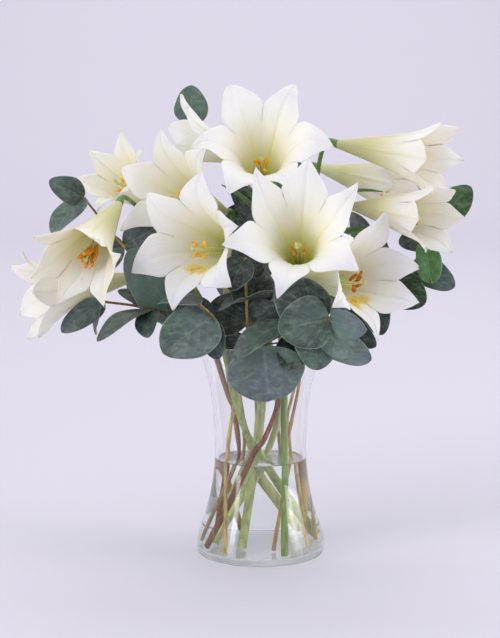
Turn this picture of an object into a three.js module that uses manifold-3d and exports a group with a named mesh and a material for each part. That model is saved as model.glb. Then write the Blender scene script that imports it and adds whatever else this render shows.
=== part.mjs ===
// Lilies in a vase: twelve white trumpet lilies and round-leaved eucalyptus standing in water in a
// waisted glass vase.
// Millimetres, +Z up. The origin is the middle of the vase's flat underside, and the bunch is seen along
// +Y.

import * as THREE from "three";
import { mergeVertices } from "three/addons/utils/BufferGeometryUtils.js";
import Module from "manifold-3d";

const wasm = await Module();
wasm.setup();

// Driving dimensions
const clearance = 0.3; // between neighbouring pieces
const vaseSides = 24;
const waterLevel = 89;
const floorHeight = 5; // thickness of the vase's base
const tubeLean = 12; // degrees from the flower's axis to its wall, at the bottom of the tube
const flarePower = 4; // the higher, the later along a petal it starts to bend back
const tubeRadius = 4; // middle of the flower tube's wall, at its bottom
const splitAt = 0.7; // share of a petal's length that is joined in the tube
const petalThickness = 0.8;
const innerHalfWidth = 20.5;
const outerHalfWidth = 19;
const innerTaper = 2; // the lower, the more pointed a petal's free end
const outerTaper = 1.7;
const lobeShareMost = 26; // degrees to each side that a petal may fill once it is free of the tube
const ribHeight = 0.9;
const tubeRows = [0, 0.45, splitAt];
const lobeRows = [0.8, 0.9, 1];
const petalColumns = [-1, -0.5, 0, 0.5, 1];
const lineSteps = 40; // steps along a petal's middle line
const lilyStemRadius = 3.3;
const pedicelRadius = 2.1;
const twigRadius = 1.7; // of a spray that gives none of its own
const twigEnd = 1.1;
const leafThickness = 0.7;
const leafBow = 0.08; // rise of a round leaf's middle, as a share of its length
const leafFold = 0.12; // rise of its edges, as a share of its half width
const lanceBow = 0.16; // the same for the long leaves of the lilies
const lanceFold = 0.35;
const leafSwings = [14, 28, 42, 56]; // degrees by which a leaf may turn aside from what it would cross
const antherLength = 10;
const antherHalfWidth = 1.2;
const stigmaRadius = 2.2;
const stemSides = 5;
const stemSteps = 2; // straight pieces for each stretch of a stem's path

// Outline of the vase from its underside to its rim, as radius and height, and the inside from the floor
// to the rim.
const vaseOutside = [
  [50, 0], [57, 1.4], [60, 8], [58.6, 17], [54.8, 29], [49.3, 46], [44.8, 68], [42.5, 90],
  [42.6, 112], [44.9, 144], [49.6, 168], [58, 199], [57, 200.5],
];
const vaseInside = [
  [55.2, 199], [46.8, 168], [42.1, 144], [39.8, 112], [39.6, 90], [41.9, 68], [46.2, 46], [51.4, 29],
  [54.4, 17], [55, 10], [49, floorHeight],
];

// Where each bloom starts, where it faces and how far it is open, in degrees, and how much wider than
// usual its petals are. Turn is the facing seen from above, with 0 towards the viewer and positive to the
// right. Lift is the rise above level. Sway and flare hold one value for each petal, clockwise from the top
// one, and change where it points and how far it bends back.
const blooms = {
  top: {
    base: [2, 44, 330], turn: -1, lift: 33, roll: -30, length: 138, open: 102, wide: 1.2, stamens: 0.45,
    sway: [0, -2, 8, 7, -4, -9], flare: [-2, -4, 7, -14, 5, 3],
  },
  centre: {
    base: [35, -27, 266], turn: -3, lift: 28, roll: 10, length: 138, open: 115, wide: 1.2, stamens: 0.45,
    sway: [-3, -19, -4, 4, 6, 17], flare: [6, -5, 2, 2, -2, -5],
  },
  left: {
    base: [-10, 21, 280], turn: -32, lift: 10, roll: 8, length: 137, open: 92, wide: 1.3,
    sway: [1, 8, -1, -2, -9, 3], flare: [8, -22, 10, -4, 3, 0],
  },
  low_right: {
    base: [31, 21, 252], turn: 42, lift: 8, roll: 13, length: 131, open: 85, wide: 1.2,
    sway: [8, 16, -13, -6, -7, 2], flare: [-4, 1, 8, -13, 14, -6],
  },
  far_left: {
    base: [-130, 5, 324], turn: -19, lift: -26, roll: 25, length: 123, open: 45, wide: 1.3,
    sway: [20, -14, 2, 9, -8, -8], flare: [-6, 20, -10, -3, -2, 0],
  },
  low_left: {
    base: [-118, 7, 257], turn: -71, lift: -9, roll: 14, length: 114, open: 55, wide: 1.3,
    sway: [2, 0, 0, 14, -11, -5], flare: [6, 0, 5, 5, 2, -10],
  },
  upper_left: {
    base: [-95, 130, 305], turn: -43, lift: 33, roll: -3, length: 101, open: 68, wide: 1.2,
    sway: [-4, 0, 0, -8, 12, 0], flare: [-4, 0, 0, 12, -8, 6],
  },
  mid_left: {
    base: [-34, 95, 310], turn: -33, lift: 16, roll: 45, length: 129, open: 92, wide: 1.15,
    sway: [0, 0, 0, 0, 3, -2], flare: [0, 0, 0, 0, 0, -1],
  },
  top_left: {
    base: [-2, 116, 357], turn: -78, lift: 18, roll: 43, length: 101, open: 60, wide: 1.1,
    sway: [4, 0, 0, 0, -4, 0], flare: [8, 0, 0, 0, 0, 0],
  },
  upper_right: {
    base: [73, 49, 377], turn: 57, lift: -6, roll: 36, length: 118, open: 27, wide: 1.25,
    sway: [1, -3, -1, 3, 0, 0], flare: [-3, 1, -2, -8, 0, 0],
  },
  right: {
    base: [87, 36, 320], turn: 42, lift: -2, roll: 33, length: 115, open: 12, wide: 1.25,
    sway: [-3, 0, 1, 2, 0, 0], flare: [-9, 0, 3, 0, 0, -4],
  },
  back_right: {
    base: [58, 99, 352], turn: 56, lift: -11, roll: -13, length: 107, open: 34, wide: 1.1,
    sway: [0, 0, 0, 0, 0, 0], flare: [7, 0, 0, 0, 0, 0],
  },
};

// Each lily stem runs from the floor of the vase through the points of its path. A pedicel leaves it at
// one of those points, by number, and passes through its own points to its bloom. A leaf is long and
// narrow.
const lilyStems = {
  centre: {
    path: [[20, -38, 12], [21, -26, 100], [21, -24, 145], [24, -16, 200], [33, -3, 240]],
    pedicels: [{ from: 4, through: [], bloom: "centre" }],
    leaves: [{ at: 3.5, tip: [84, 10, 262], half: 8 }],
  },
  left: {
    path: [
      [35, 20, 12], [1, -8, 93], [-12, -20, 115], [-24, -31, 155],
      [-33, -34, 196], [-55, -18, 240], [-72, -2, 264],
    ],
    pedicels: [
      { from: 6, through: [[-88, 34, 292], [-113, 43, 317]], bloom: "far_left" },
      { from: 6, through: [], bloom: "low_left" },
    ],
    leaves: [],
  },
  middle: {
    path: [[-14, -16, 12], [-2, 6, 100], [3, 9, 145], [8, 14, 200], [8, 42, 240]],
    pedicels: [
      { from: 4, through: [[2, 44, 262]], bloom: "left" },
      { from: 4, through: [], bloom: "low_right" },
    ],
    leaves: [],
  },
  top: {
    path: [[-24, 30, 12], [-4, 22, 100], [-3, 26, 150], [-2, 32, 200], [0, 66, 296]],
    pedicels: [
      { from: 4, through: [], bloom: "top" },
      { from: 4, through: [[14, 98, 322]], bloom: "top_left" },
    ],
    leaves: [{ at: 3.6, tip: [-14, 6, 338], half: 12 }, { at: 3.8, tip: [-52, 30, 330], half: 7 }],
  },
  left_back: {
    path: [[22, 38, 12], [-12, 31, 100], [-22, 29, 150], [-30, 30, 200], [-34, 84, 270]],
    pedicels: [
      { from: 4, through: [], bloom: "mid_left" },
      { from: 4, through: [[-60, 118, 285]], bloom: "upper_left" },
    ],
    leaves: [],
  },
  right: {
    path: [[-34, -4, 12], [10, 18, 100], [22, 21, 150], [30, 24, 200], [52, 64, 310]],
    pedicels: [
      { from: 4, through: [[54, 60, 350]], bloom: "upper_right" },
      { from: 4, through: [], bloom: "right" },
      { from: 4, through: [[44, 76, 340]], bloom: "back_right" },
    ],
    leaves: [{ at: 3.9, tip: [112, 8, 336], half: 5 }, { at: 3.6, tip: [107, 20, 298], half: 9 }],
  },
};

// Each eucalyptus spray runs from the floor of the vase through the points of its path. Its leaves are
// given by the place on the path where they grow, where the tip is, half the width, and the tilt about the
// leaf's own length.
const sprays = {
  front_right: {
    radius: 3,
    path: [
      [-43, -12, 12], [-9, -35, 95], [3, -34, 114], [15, -30, 145],
      [26, -40, 196], [44, -60, 216], [60, -78, 230],
    ],
    leaves: [
      { at: 6, tip: [15, -84, 222], half: 23 },
      { at: 6, tip: [94, -74, 229], half: 15, tilt: 40 },
      { at: 5.6, tip: [25, -62, 270], half: 23 },
      { at: 5.6, tip: [84, -64, 198], half: 18, tilt: 10 },
      { at: 5.1, tip: [50, -72, 184], half: 19, tilt: -10 },
      { at: 5.1, tip: [98, -56, 190], half: 15, tilt: 15 },
      { at: 4.7, tip: [21, -74, 189], half: 17 },
      { at: 4.5, stalk: [[26, -58, 207], [2, -63, 205]], tip: [8, -66, 152], half: 35 },
    ],
  },
  centre: {
    radius: 2,
    path: [
      [-30, -36, 12], [-30, -19, 91], [-25, -14, 136], [-14, -34, 188],
      [-12, -42, 208], [-13, -48, 243], [-14, -60, 282],
    ],
    leaves: [
      { at: 6, tip: [-34, -66, 258], half: 14, tilt: 10 },
      { at: 5, tip: [-38, -56, 234], half: 16, tilt: 76 },
      { at: 5, tip: [10, -50, 252], half: 16, tilt: 76 },
      { at: 4.4, tip: [-50, -36, 236], half: 20 },
      { at: 4.4, tip: [18, -52, 246], half: 20 },
      { at: 4, stalk: [[4, -56, 208], [20, -62, 225]], tip: [-24, -74, 196], half: 13, tilt: 30 },
      { at: 4, tip: [-40, -52, 190], half: 14, tilt: 0 },
      { at: 4.7, tip: [-2, -20, 270], half: 20 },
      { at: 5.4, tip: [-4, -22, 312], half: 17 },
    ],
  },
  left_front: {
    path: [
      [-42, 8, 12], [-15, 0, 100], [-31, -5, 150], [-45, -14, 198],
      [-47, -40, 216], [-43, -60, 230], [-54, -70, 242],
    ],
    leaves: [
      { at: 5, tip: [-86, -80, 200], half: 25 },
      { at: 4.5, tip: [-38, -64, 192], half: 12, tilt: 20 },
      { at: 6, tip: [-98, -66, 236], half: 15, tilt: 65 },
      { at: 4, tip: [-74, -30, 250], half: 20 },
      { at: 4, tip: [-40, -16, 247], half: 16 },
    ],
  },
  low_left: {
    path: [
      [-28, 20, 12], [-20, 12, 100], [-31, 9, 150], [-47, 6, 198],
      [-78, -16, 222], [-107, -28, 234], [-143, -20, 238],
    ],
    leaves: [
      { at: 4.8, tip: [-145, -60, 208], half: 14, tilt: 55 },
      { at: 4.8, tip: [-101, -52, 210], half: 12, tilt: 20 },
      { at: 6, tip: [-150, -20, 208], half: 14, tilt: 70 },
      { at: 6, tip: [-176, -16, 204], half: 12, tilt: 10 },
      { at: 4, tip: [-118, -22, 286], half: 24 },
      { at: 4, tip: [-84, 14, 206], half: 18 },
      { at: 4.4, tip: [-60, -4, 262], half: 20 },
      { at: 4.6, tip: [-130, -10, 247], half: 8, tilt: 30 },
    ],
  },
  upper_left: {
    path: [
      [-10, 41, 12], [-22, 26, 100], [-30, 24, 150], [-38, 22, 198],
      [-80, 40, 240], [-128, 44, 282], [-164, 34, 328],
    ],
    leaves: [
      { at: 6, tip: [-194, 14, 345], half: 12 },
      { at: 6, tip: [-191, 8, 297], half: 14, tilt: 30 },
      { at: 5, tip: [-103, 8, 304], half: 14 },
      { at: 5, tip: [-168, 60, 266], half: 18 },
      { at: 4.4, tip: [-90, 70, 280], half: 20 },
      { at: 4.4, tip: [-116, 22, 228], half: 20 },
    ],
  },
  right: {
    path: [
      [10, -20, 12], [24, -6, 100], [34, -2, 150], [45, 2, 198],
      [92, 4, 232], [138, 2, 268], [163, 8, 309],
    ],
    leaves: [
      { at: 6, tip: [187, 2, 344], half: 15 },
      { at: 5.6, tip: [126, -4, 290], half: 12 },
      { at: 5, stalk: [[154, -20, 255]], tip: [150, -26, 297], half: 12 },
      { at: 5.1, tip: [177, -8, 250], half: 14, tilt: 25 },
      { at: 4.6, tip: [150, -14, 236], half: 18, tilt: 25 },
      { at: 4.2, tip: [112, -8, 206], half: 14, tilt: 20 },
      { at: 4.2, tip: [74, 12, 270], half: 18 },
      { at: 3.7, tip: [104, -30, 198], half: 13, tilt: 30 },
      { at: 4.3, tip: [104, 8, 304], half: 14 },
    ],
  },
  top: {
    path: [
      [38, 10, 12], [28, 22, 100], [22, 31, 150], [18, 46, 198],
      [8, 128, 290], [-24, 158, 350], [-69, 146, 393],
    ],
    leaves: [
      { at: 6, tip: [-66, 138, 430], half: 17 },
      { at: 5, tip: [20, 148, 378], half: 18 },
      { at: 4, tip: [-27, 60, 338], half: 16 },
      { at: 4, tip: [39, 120, 356], half: 16 },
      { at: 4, tip: [-36, 122, 306], half: 20 },
      { at: 3.6, tip: [-22, 70, 290], half: 20 },
    ],
  },
  back: {
    path: [
      [27, 26, 12], [18, 30, 100], [14, 38, 150], [8, 46, 198],
      [-14, 92, 240], [-50, 132, 262], [-92, 152, 266],
    ],
    pairs: { from: 3.6, to: 6, count: 3, length: 46 },
  },
  back_right: {
    path: [
      [36, -8, 12], [23, 5, 100], [31, 11, 150], [47, 20, 198],
      [72, 84, 244], [104, 112, 282], [140, 116, 330],
    ],
    pairs: { from: 3.6, to: 6, count: 3, length: 46 },
  },
};
const leafFace = [0, -1, 0.3]; // the way a leaf of the front sprays shows its upper side

const radians = THREE.MathUtils.degToRad;
const vector = (point) => new THREE.Vector3(...point);

// A repeatable value from 0 to 1 for each whole number.
function scatter(n) {
  const value = Math.sin(n * 12.9898) * 43758.5453;
  return value - Math.floor(value);
}

// Triangles, given as lists of points, as one geometry with shared corners.
function surface(triangles) {
  const geometry = new THREE.BufferGeometry().setFromPoints(triangles.flat());
  return mergeVertices(geometry, 1e-3);
}

// A closed geometry as a solid, for joining and cutting.
function solidOf(geometry) {
  const bare = geometry.index ? geometry.toNonIndexed() : geometry.clone();
  bare.deleteAttribute("normal");
  bare.deleteAttribute("uv");
  const merged = mergeVertices(bare, 1e-3);
  return new wasm.Manifold(
    new wasm.Mesh({
      numProp: 3,
      vertProperties: merged.attributes.position.array,
      triVerts: new Uint32Array(merged.index.array),
    }),
  );
}

function geometryOf(solid) {
  const mesh = solid.getMesh();
  const geometry = new THREE.BufferGeometry();
  geometry.setAttribute("position", new THREE.BufferAttribute(mesh.vertProperties, 3));
  geometry.setIndex(new THREE.BufferAttribute(mesh.triVerts, 1));
  geometry.computeVertexNormals();
  return geometry;
}

const union = (solids) => solids.reduce((joined, solid) => joined.add(solid));

// A round rod through a list of points, with a radius at each. Its cross-sections turn with it as little
// as they can.
function rod(points, radii, sides, endDirection) {
  const last = points.length - 1;
  const tangents = points.map((p, i) =>
    points[Math.min(i + 1, last)].clone().sub(points[Math.max(i - 1, 0)]).normalize(),
  );
  if (endDirection) tangents[last] = endDirection.clone();
  const helper = Math.abs(tangents[0].z) < 0.9 ? new THREE.Vector3(0, 0, 1) : new THREE.Vector3(1, 0, 0);
  let across = new THREE.Vector3().crossVectors(tangents[0], helper).normalize();
  const rings = points.map((p, i) => {
    if (i) {
      const bend = new THREE.Quaternion().setFromUnitVectors(tangents[i - 1], tangents[i]);
      across.applyQuaternion(bend);
    }
    across = across.clone().addScaledVector(tangents[i], -across.dot(tangents[i])).normalize();
    const up = new THREE.Vector3().crossVectors(tangents[i], across);
    return Array.from({ length: sides }, (_, k) => {
      const angle = (2 * Math.PI * k) / sides;
      return p
        .clone()
        .addScaledVector(across, radii[i] * Math.cos(angle))
        .addScaledVector(up, radii[i] * Math.sin(angle));
    });
  });
  const triangles = [];
  for (let k = 0; k < sides; k++) {
    const next = (k + 1) % sides;
    for (let i = 0; i < last; i++) {
      triangles.push([rings[i][k], rings[i][next], rings[i + 1][next]]);
      triangles.push([rings[i][k], rings[i + 1][next], rings[i + 1][k]]);
    }
  }
  for (let k = 1; k < sides - 1; k++) {
    triangles.push([rings[0][0], rings[0][k + 1], rings[0][k]]);
    triangles.push([rings[last][0], rings[last][k], rings[last][k + 1]]);
  }
  return surface(triangles);
}

// Points along the smooth curve through a few points, so many for each stretch.
function smoothLine(points) {
  const curve = new THREE.CatmullRomCurve3(points, false, "catmullrom", 0.5);
  return curve.getPoints((points.length - 1) * stemSteps);
}

// A rod along a smooth curve through a few points, from one radius to another.
function stemRod(path, from, to) {
  const line = smoothLine(path.map(vector));
  const radii = line.map((_, i) => from + ((to - from) * i) / (line.length - 1));
  return solidOf(rod(line, radii, stemSides));
}

// Vase and water

function vaseGeometry() {
  const outline = [[0, 0], ...vaseOutside, ...vaseInside, [0, floorHeight]];
  const profile = outline.map(([r, z]) => new THREE.Vector2(r, z));
  return new THREE.LatheGeometry(profile, vaseSides).rotateX(Math.PI / 2);
}

// The radius of the vase's inside at a height.
function insideRadius(height) {
  const above = vaseInside.findLastIndex(([, z]) => z > height);
  const [[r1, z1], [r0, z0]] = vaseInside.slice(above, above + 2);
  return THREE.MathUtils.mapLinear(height, z0, z1, r0, r1);
}

// The water fills the vase up to its level, and the stems stand in plain holes in it.
function waterSolid(holes) {
  const heights = [floorHeight, ...vaseInside.map(([, z]) => z).reverse(), waterLevel];
  const wall = heights
    .filter((z) => z > floorHeight && z <= waterLevel)
    .map((z) => [insideRadius(z) - clearance, z]);
  const bottom = floorHeight + clearance;
  const outline = [[0, bottom], [vaseInside.at(-1)[0] - clearance, bottom], ...wall, [0, waterLevel]];
  const lathe = new THREE.LatheGeometry(outline.map(([r, z]) => new THREE.Vector2(r, z)), vaseSides);
  return holes.reduce((water, hole) => water.subtract(hole), solidOf(lathe.rotateX(Math.PI / 2)));
}

// Blooms

// The bloom's own frame: its axis is Z, and X points to the top of the flower.
function bloomFrame({ turn, lift }) {
  const [a, e] = [radians(turn), radians(lift)];
  const axis = new THREE.Vector3(Math.sin(a) * Math.cos(e), -Math.cos(a) * Math.cos(e), Math.sin(e));
  const side = new THREE.Vector3(Math.cos(a), Math.sin(a), 0);
  const up = new THREE.Vector3().crossVectors(axis, side);
  return { axis, matrix: new THREE.Matrix4().makeBasis(up, side.negate(), axis) };
}

const lobeShare = (v) => Math.max(0, (v - splitAt) / (1 - splitAt));

// Distance from the flower's axis, height along it and lean of a petal's middle line, at each step of its
// length.
function petalLine(bloom, petal) {
  const leanAt = (v) =>
    radians(tubeLean + (bloom.open - tubeLean) * v ** flarePower + bloom.flare[petal] * lobeShare(v));
  const line = [{ radius: tubeRadius, rise: 0, lean: leanAt(0) }];
  const step = bloom.length / lineSteps;
  for (let i = 0; i < lineSteps; i++) {
    const lean = leanAt((i + 0.5) / lineSteps);
    line.push({
      radius: line[i].radius + step * Math.sin(lean),
      rise: line[i].rise + step * Math.cos(lean),
      lean: leanAt((i + 1) / lineSteps),
    });
  }
  return line;
}

// A point of a petal and the direction of its upper side there. v runs along the petal, u across it from
// -1 to 1.
function petalPoint(bloom, petal, line, v, u) {
  const { radius, rise, lean } = line[Math.round(v * lineSteps)];
  const lobe = lobeShare(v);
  const angle = -radians(bloom.roll + 60 * petal + bloom.sway[petal] * lobe);
  const out = new THREE.Vector3(Math.cos(angle), Math.sin(angle), 0);
  const across = new THREE.Vector3(Math.sin(angle), -Math.cos(angle), 0);
  const face = new THREE.Vector3(0, 0, Math.sin(lean)).addScaledVector(out, -Math.cos(lean));
  const [half, taper] = petal % 2 ? [outerHalfWidth, outerTaper] : [innerHalfWidth, innerTaper];
  const free = half * (bloom.wide ?? 1) * (bloom.length / 140) * (1 - lobe ** taper);
  const width = Math.min(free, radius * radians(lobeShareMost));
  const bendRadius = radius / (1 - 0.85 * lobe ** 0.7);
  const bend = u * (lobe ? width / bendRadius : radians(30));
  const inward = out.clone().negate().lerp(face, lobe).normalize();
  const point = out
    .clone()
    .multiplyScalar(radius)
    .setZ(rise)
    .addScaledVector(across, bendRadius * Math.sin(bend))
    .addScaledVector(inward, bendRadius * (1 - Math.cos(bend)));
  const wave = lobe * u * u * 1.6 * Math.sin(6 * v + petal * 2.1 + u * 1.3);
  const rib = (1 - Math.abs(u)) ** 2 * ribHeight * Math.sin(Math.PI * Math.min(v, 0.95));
  point.addScaledVector(face, wave - rib);
  const normal = lobe
    ? face.clone().multiplyScalar(Math.cos(bend)).addScaledVector(across, -Math.sin(bend))
    : face
        .clone()
        .addScaledVector(out, Math.cos(lean) * (1 - Math.cos(bend)))
        .addScaledVector(across, -Math.cos(lean) * Math.sin(bend));
  return { point, normal: normal.normalize() };
}

// Six petals joined in a tube that is closed at the bottom, as one thin shell.
function petalsGeometry(bloom) {
  const rows = [...tubeRows, ...lobeRows];
  const triangles = [];
  const bottom = new THREE.Vector3(0, 0, 0);
  const bottomInside = new THREE.Vector3(0, 0, 1.2);
  for (let petal = 0; petal < 6; petal++) {
    const line = petalLine(bloom, petal);
    const grid = rows.map((v) =>
      (v === 1 ? [0, 0, 0, 0, 0] : petalColumns).map((u) => {
        const { point, normal } = petalPoint(bloom, petal, line, v, u);
        return {
          inside: point.clone().addScaledVector(normal, petalThickness / 2),
          outside: point.clone().addScaledVector(normal, -petalThickness / 2),
        };
      }),
    );
    const columns = petalColumns.length - 1;
    for (let j = 0; j < columns; j++) {
      for (let i = 0; i < rows.length - 1; i++) {
        const [a, b, c, d] = [grid[i][j], grid[i][j + 1], grid[i + 1][j + 1], grid[i + 1][j]];
        triangles.push([a.inside, b.inside, c.inside], [a.outside, c.outside, b.outside]);
        if (rows[i + 1] < 1) {
          triangles.push([a.inside, c.inside, d.inside], [a.outside, d.outside, c.outside]);
        }
      }
      triangles.push([grid[0][j + 1].inside, grid[0][j].inside, bottomInside]);
      triangles.push([grid[0][j].outside, grid[0][j + 1].outside, bottom]);
    }
    for (let i = tubeRows.length - 1; i < rows.length - 1; i++) {
      const [a, d, b, c] = [grid[i][0], grid[i + 1][0], grid[i][columns], grid[i + 1][columns]];
      triangles.push([a.inside, d.inside, d.outside], [a.inside, d.outside, a.outside]);
      triangles.push([c.inside, b.inside, b.outside], [c.inside, b.outside, c.outside]);
    }
  }
  return surface(triangles);
}

// Six stamens and the pistil. They hold together at the bottom of the tube in a small six-sided knob.
function stamensGeometry(bloom, seed) {
  const reach = bloom.length * (bloom.stamens ?? 0.6);
  const share = reach / 84;
  const spread = (3 + bloom.open * 0.02) * share;
  const droop = new THREE.Vector3(-6.5 * share, 0, 0);
  const lean = radians(bloom.open > 60 ? 45 : 20); // how far an anther leans from its filament
  const ring = (count, radius, z, start) =>
    Array.from({ length: count }, (_, k) => {
      const angle = start - (2 * Math.PI * (k - 0.5)) / count;
      return new THREE.Vector3(radius * Math.cos(angle), radius * Math.sin(angle), z);
    });
  const start = -radians(bloom.roll);
  const low = ring(6, 3.1, 1.6, start);
  const high = ring(6, 1.5, 3.6, start);
  const triangles = [];
  // Joins two rings of the same number of points, which run clockwise seen from above.
  const bridge = (from, to) => {
    from.forEach((point, k) => {
      const next = (k + 1) % from.length;
      triangles.push([from[next], point, to[k]], [from[next], to[k], to[next]]);
    });
  };
  for (let k = 0; k < 6; k++) {
    const next = (k + 1) % 6;
    const angle = start - radians(60 * k + 20 * (scatter(seed + k) - 0.5));
    const out = new THREE.Vector3(Math.cos(angle), Math.sin(angle), 0);
    const across = new THREE.Vector3(-Math.sin(angle), Math.cos(angle), 0);
    const height = reach * (0.94 + 0.1 * scatter(seed + k + 7));
    const end = out.clone().multiplyScalar(spread).add(droop).setZ(height);
    const swing = Math.PI * (scatter(seed + k + 13) - 0.5);
    const turned = out.clone().applyAxisAngle(new THREE.Vector3(0, 0, 1), swing);
    const along = turned.multiplyScalar(Math.sin(lean)).setZ(Math.cos(lean)).normalize();
    const quad = (centre, size) => [
      centre.clone().addScaledVector(out, size).addScaledVector(across, size),
      centre.clone().addScaledVector(out, size).addScaledVector(across, -size),
      centre.clone().addScaledVector(out, -size).addScaledVector(across, -size),
      centre.clone().addScaledVector(out, -size).addScaledVector(across, size),
    ];
    const root = [low[k], low[next], high[next], high[k]];
    const filamentEnd = quad(end, 0.5);
    const anther = quad(end.clone().addScaledVector(along, 0.4 * antherLength), antherHalfWidth);
    const tip = end.clone().addScaledVector(along, antherLength * share);
    bridge(root, filamentEnd);
    bridge(filamentEnd, anther);
    anther.forEach((point, n) => triangles.push([anther[(n + 1) % 4], point, tip]));
  }
  const style = ring(6, 0.9, reach + 8, start).map((point) => point.add(droop));
  const stigma = ring(6, stigmaRadius, reach + 12, start).map((point) => point.add(droop));
  bridge(high, style);
  bridge(style, stigma);
  for (let k = 1; k < 5; k++) {
    triangles.push([low[0], low[k], low[k + 1]], [stigma[0], stigma[k + 1], stigma[k]]);
  }
  return surface(triangles);
}

// Leaves

// A leaf from its base to its tip: a thin blade, rounded or narrow, folded a little along its midrib and
// bowed.
function bladeGeometry({ base, tip, half, face, bow, fold, thickness = leafThickness }) {
  const along = tip.clone().sub(base);
  const length = along.length();
  const direction = along.clone().normalize();
  const normal = face.clone().addScaledVector(direction, -face.dot(direction)).normalize();
  const side = new THREE.Vector3().crossVectors(direction, normal);
  const stations = [
    [0, 0],
    [0.15, 0.72],
    [0.5, 1],
    [0.87, 0.64],
    [1, 0],
  ];
  const grid = stations.map(([t, width]) =>
    [-1, 0, 1].map((u) => {
      const rise = bow * length * Math.sin(Math.PI * t) + fold * half * width * Math.abs(u);
      const middle = base
        .clone()
        .addScaledVector(along, t)
        .addScaledVector(side, u * half * width)
        .addScaledVector(normal, rise);
      const above = middle.clone().addScaledVector(normal, thickness / 2);
      return [above, middle.addScaledVector(normal, -thickness / 2)];
    }),
  );
  const triangles = [];
  const last = stations.length - 1;
  for (let i = 0; i < last; i++) {
    for (let j = 0; j < 2; j++) {
      const [a, b, c, d] = [grid[i][j], grid[i][j + 1], grid[i + 1][j + 1], grid[i + 1][j]];
      if (i > 0) triangles.push([a[0], b[0], c[0]], [a[1], c[1], b[1]]);
      if (i < last - 1 || i === 0) triangles.push([a[0], c[0], d[0]], [a[1], d[1], c[1]]);
    }
    const [a, d, b, c] = [grid[i][0], grid[i + 1][0], grid[i][2], grid[i + 1][2]];
    triangles.push([a[0], d[0], d[1]], [a[0], d[1], a[1]], [c[0], b[0], b[1]], [c[0], b[1], c[1]]);
  }
  return surface(triangles);
}

const placed = []; // every solid that a later leaf has to stay clear of

const boxesMeet = (a, b) => [0, 1, 2].every((k) => a.min[k] < b.max[k] && b.min[k] < a.max[k]);

const isClear = (solid, others) => {
  const box = solid.boundingBox();
  return others.every((other) => !boxesMeet(box, other.boundingBox()) || solid.intersect(other).isEmpty());
};

// A leaf that would cross another piece swings aside on its base, by the first of these lifts and sways
// that is clear.
const swings = [[0, 0]];
for (const reach of leafSwings) {
  swings.push([reach, 0], [-reach, 0], [0, reach], [0, -reach]);
  swings.push([reach, reach / 2], [-reach, reach / 2], [reach, -reach / 2], [-reach, -reach / 2]);
}

function clearLeaf(leaf, own) {
  const along = leaf.tip.clone().sub(leaf.base);
  const direction = along.clone().normalize();
  const normal = leaf.face.clone().addScaledVector(direction, -leaf.face.dot(direction)).normalize();
  const side = new THREE.Vector3().crossVectors(direction, normal);
  for (const [lift, sway] of swings) {
    const turn = (v) => v.clone().applyAxisAngle(side, -radians(lift)).applyAxisAngle(normal, radians(sway));
    const swung = { ...leaf, tip: leaf.base.clone().add(turn(along)), face: turn(normal) };
    const padded = { ...swung, half: leaf.half + 1, thickness: leafThickness + 2 * clearance + 0.4 };
    const outer = { ...padded, base: swung.base.clone().lerp(swung.tip, 0.25) };
    if (isClear(solidOf(bladeGeometry(padded)), placed) && isClear(solidOf(bladeGeometry(outer)), own)) {
      return solidOf(bladeGeometry(swung));
    }
  }
  return null;
}

// Leaves that clear everything, joined to the stem that they grow from, some by a stalk of their own.
function leafy(stem, leaves) {
  const own = [];
  const stalks = [];
  for (const leaf of leaves) {
    const blade = clearLeaf(leaf, own);
    if (!blade) continue;
    own.push(blade);
    if (leaf.stalk) {
      const end = leaf.base.clone().lerp(leaf.tip, 0.12);
      stalks.push(solidOf(rod([...leaf.stalk, leaf.base, end], leaf.stalk.map(() => 1).concat(1, 0.8), 4)));
    }
  }
  return union([stem, ...own, ...stalks]);
}

const curveOf = (path) => new THREE.CatmullRomCurve3(path.map(vector), false, "catmullrom", 0.5);
const pointOn = (path, at) => curveOf(path).getPoint(at / (path.length - 1));

// The lower end of a stem is cut square, and its lowest edge stands just off the floor of the vase.
function standing(path, radius) {
  const [first, second] = [vector(path[0]), vector(path[1])];
  const slant = second.clone().sub(first).normalize();
  first.z = floorHeight + clearance + 0.2 + radius * Math.sqrt(1 - slant.z ** 2);
  return [first.toArray(), ...path.slice(1)];
}

// The hole that a standing stem needs in the water, around the same points as the stem and open below.
function wetHole(path, radius) {
  const line = smoothLine(path.map(vector));
  const above = line.findIndex(({ z }) => z > waterLevel + 6);
  const wet = line.slice(0, above + 1);
  wet[0].addScaledVector(wet[1].clone().sub(wet[0]).normalize(), -4);
  return solidOf(rod(wet, wet.map(() => radius + clearance + 0.1), stemSides));
}

// Lily stems

// The stem with its pedicels, each swelling into the end of a bloom's tube.
function lilyStemSolid(route, pedicels) {
  const branches = pedicels.map(({ from, through, bloom }) => {
    const { axis } = bloomFrame(blooms[bloom]);
    const end = vector(blooms[bloom].base).addScaledVector(axis, -clearance);
    const before = end.clone().addScaledVector(axis, -14);
    const line = smoothLine([pointOn(route, from), ...through.map(vector), before, end]);
    const radii = line.map(() => pedicelRadius);
    radii.splice(-2, 2, 2.7, 3.6);
    return solidOf(rod(line, radii, stemSides, axis));
  });
  return union([stemRod(route, lilyStemRadius, 2.6), ...branches]);
}

// Assembly

const part = new THREE.Group();

function addNode(name, geometry, colour, roughness, place) {
  if (!geometry.attributes.normal) geometry.computeVertexNormals();
  const material = new THREE.MeshStandardMaterial({ color: colour, roughness, metalness: 0 });
  const mesh = new THREE.Mesh(geometry, material);
  mesh.name = name;
  if (place) {
    mesh.position.copy(place.position);
    mesh.quaternion.setFromRotationMatrix(place.matrix);
  }
  part.add(mesh);
  mesh.updateMatrixWorld(true);
  placed.push(solidOf(geometry.clone().applyMatrix4(mesh.matrixWorld)));
}

addNode("vase", vaseGeometry(), 0xe8f2ee, 0.05);

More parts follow.
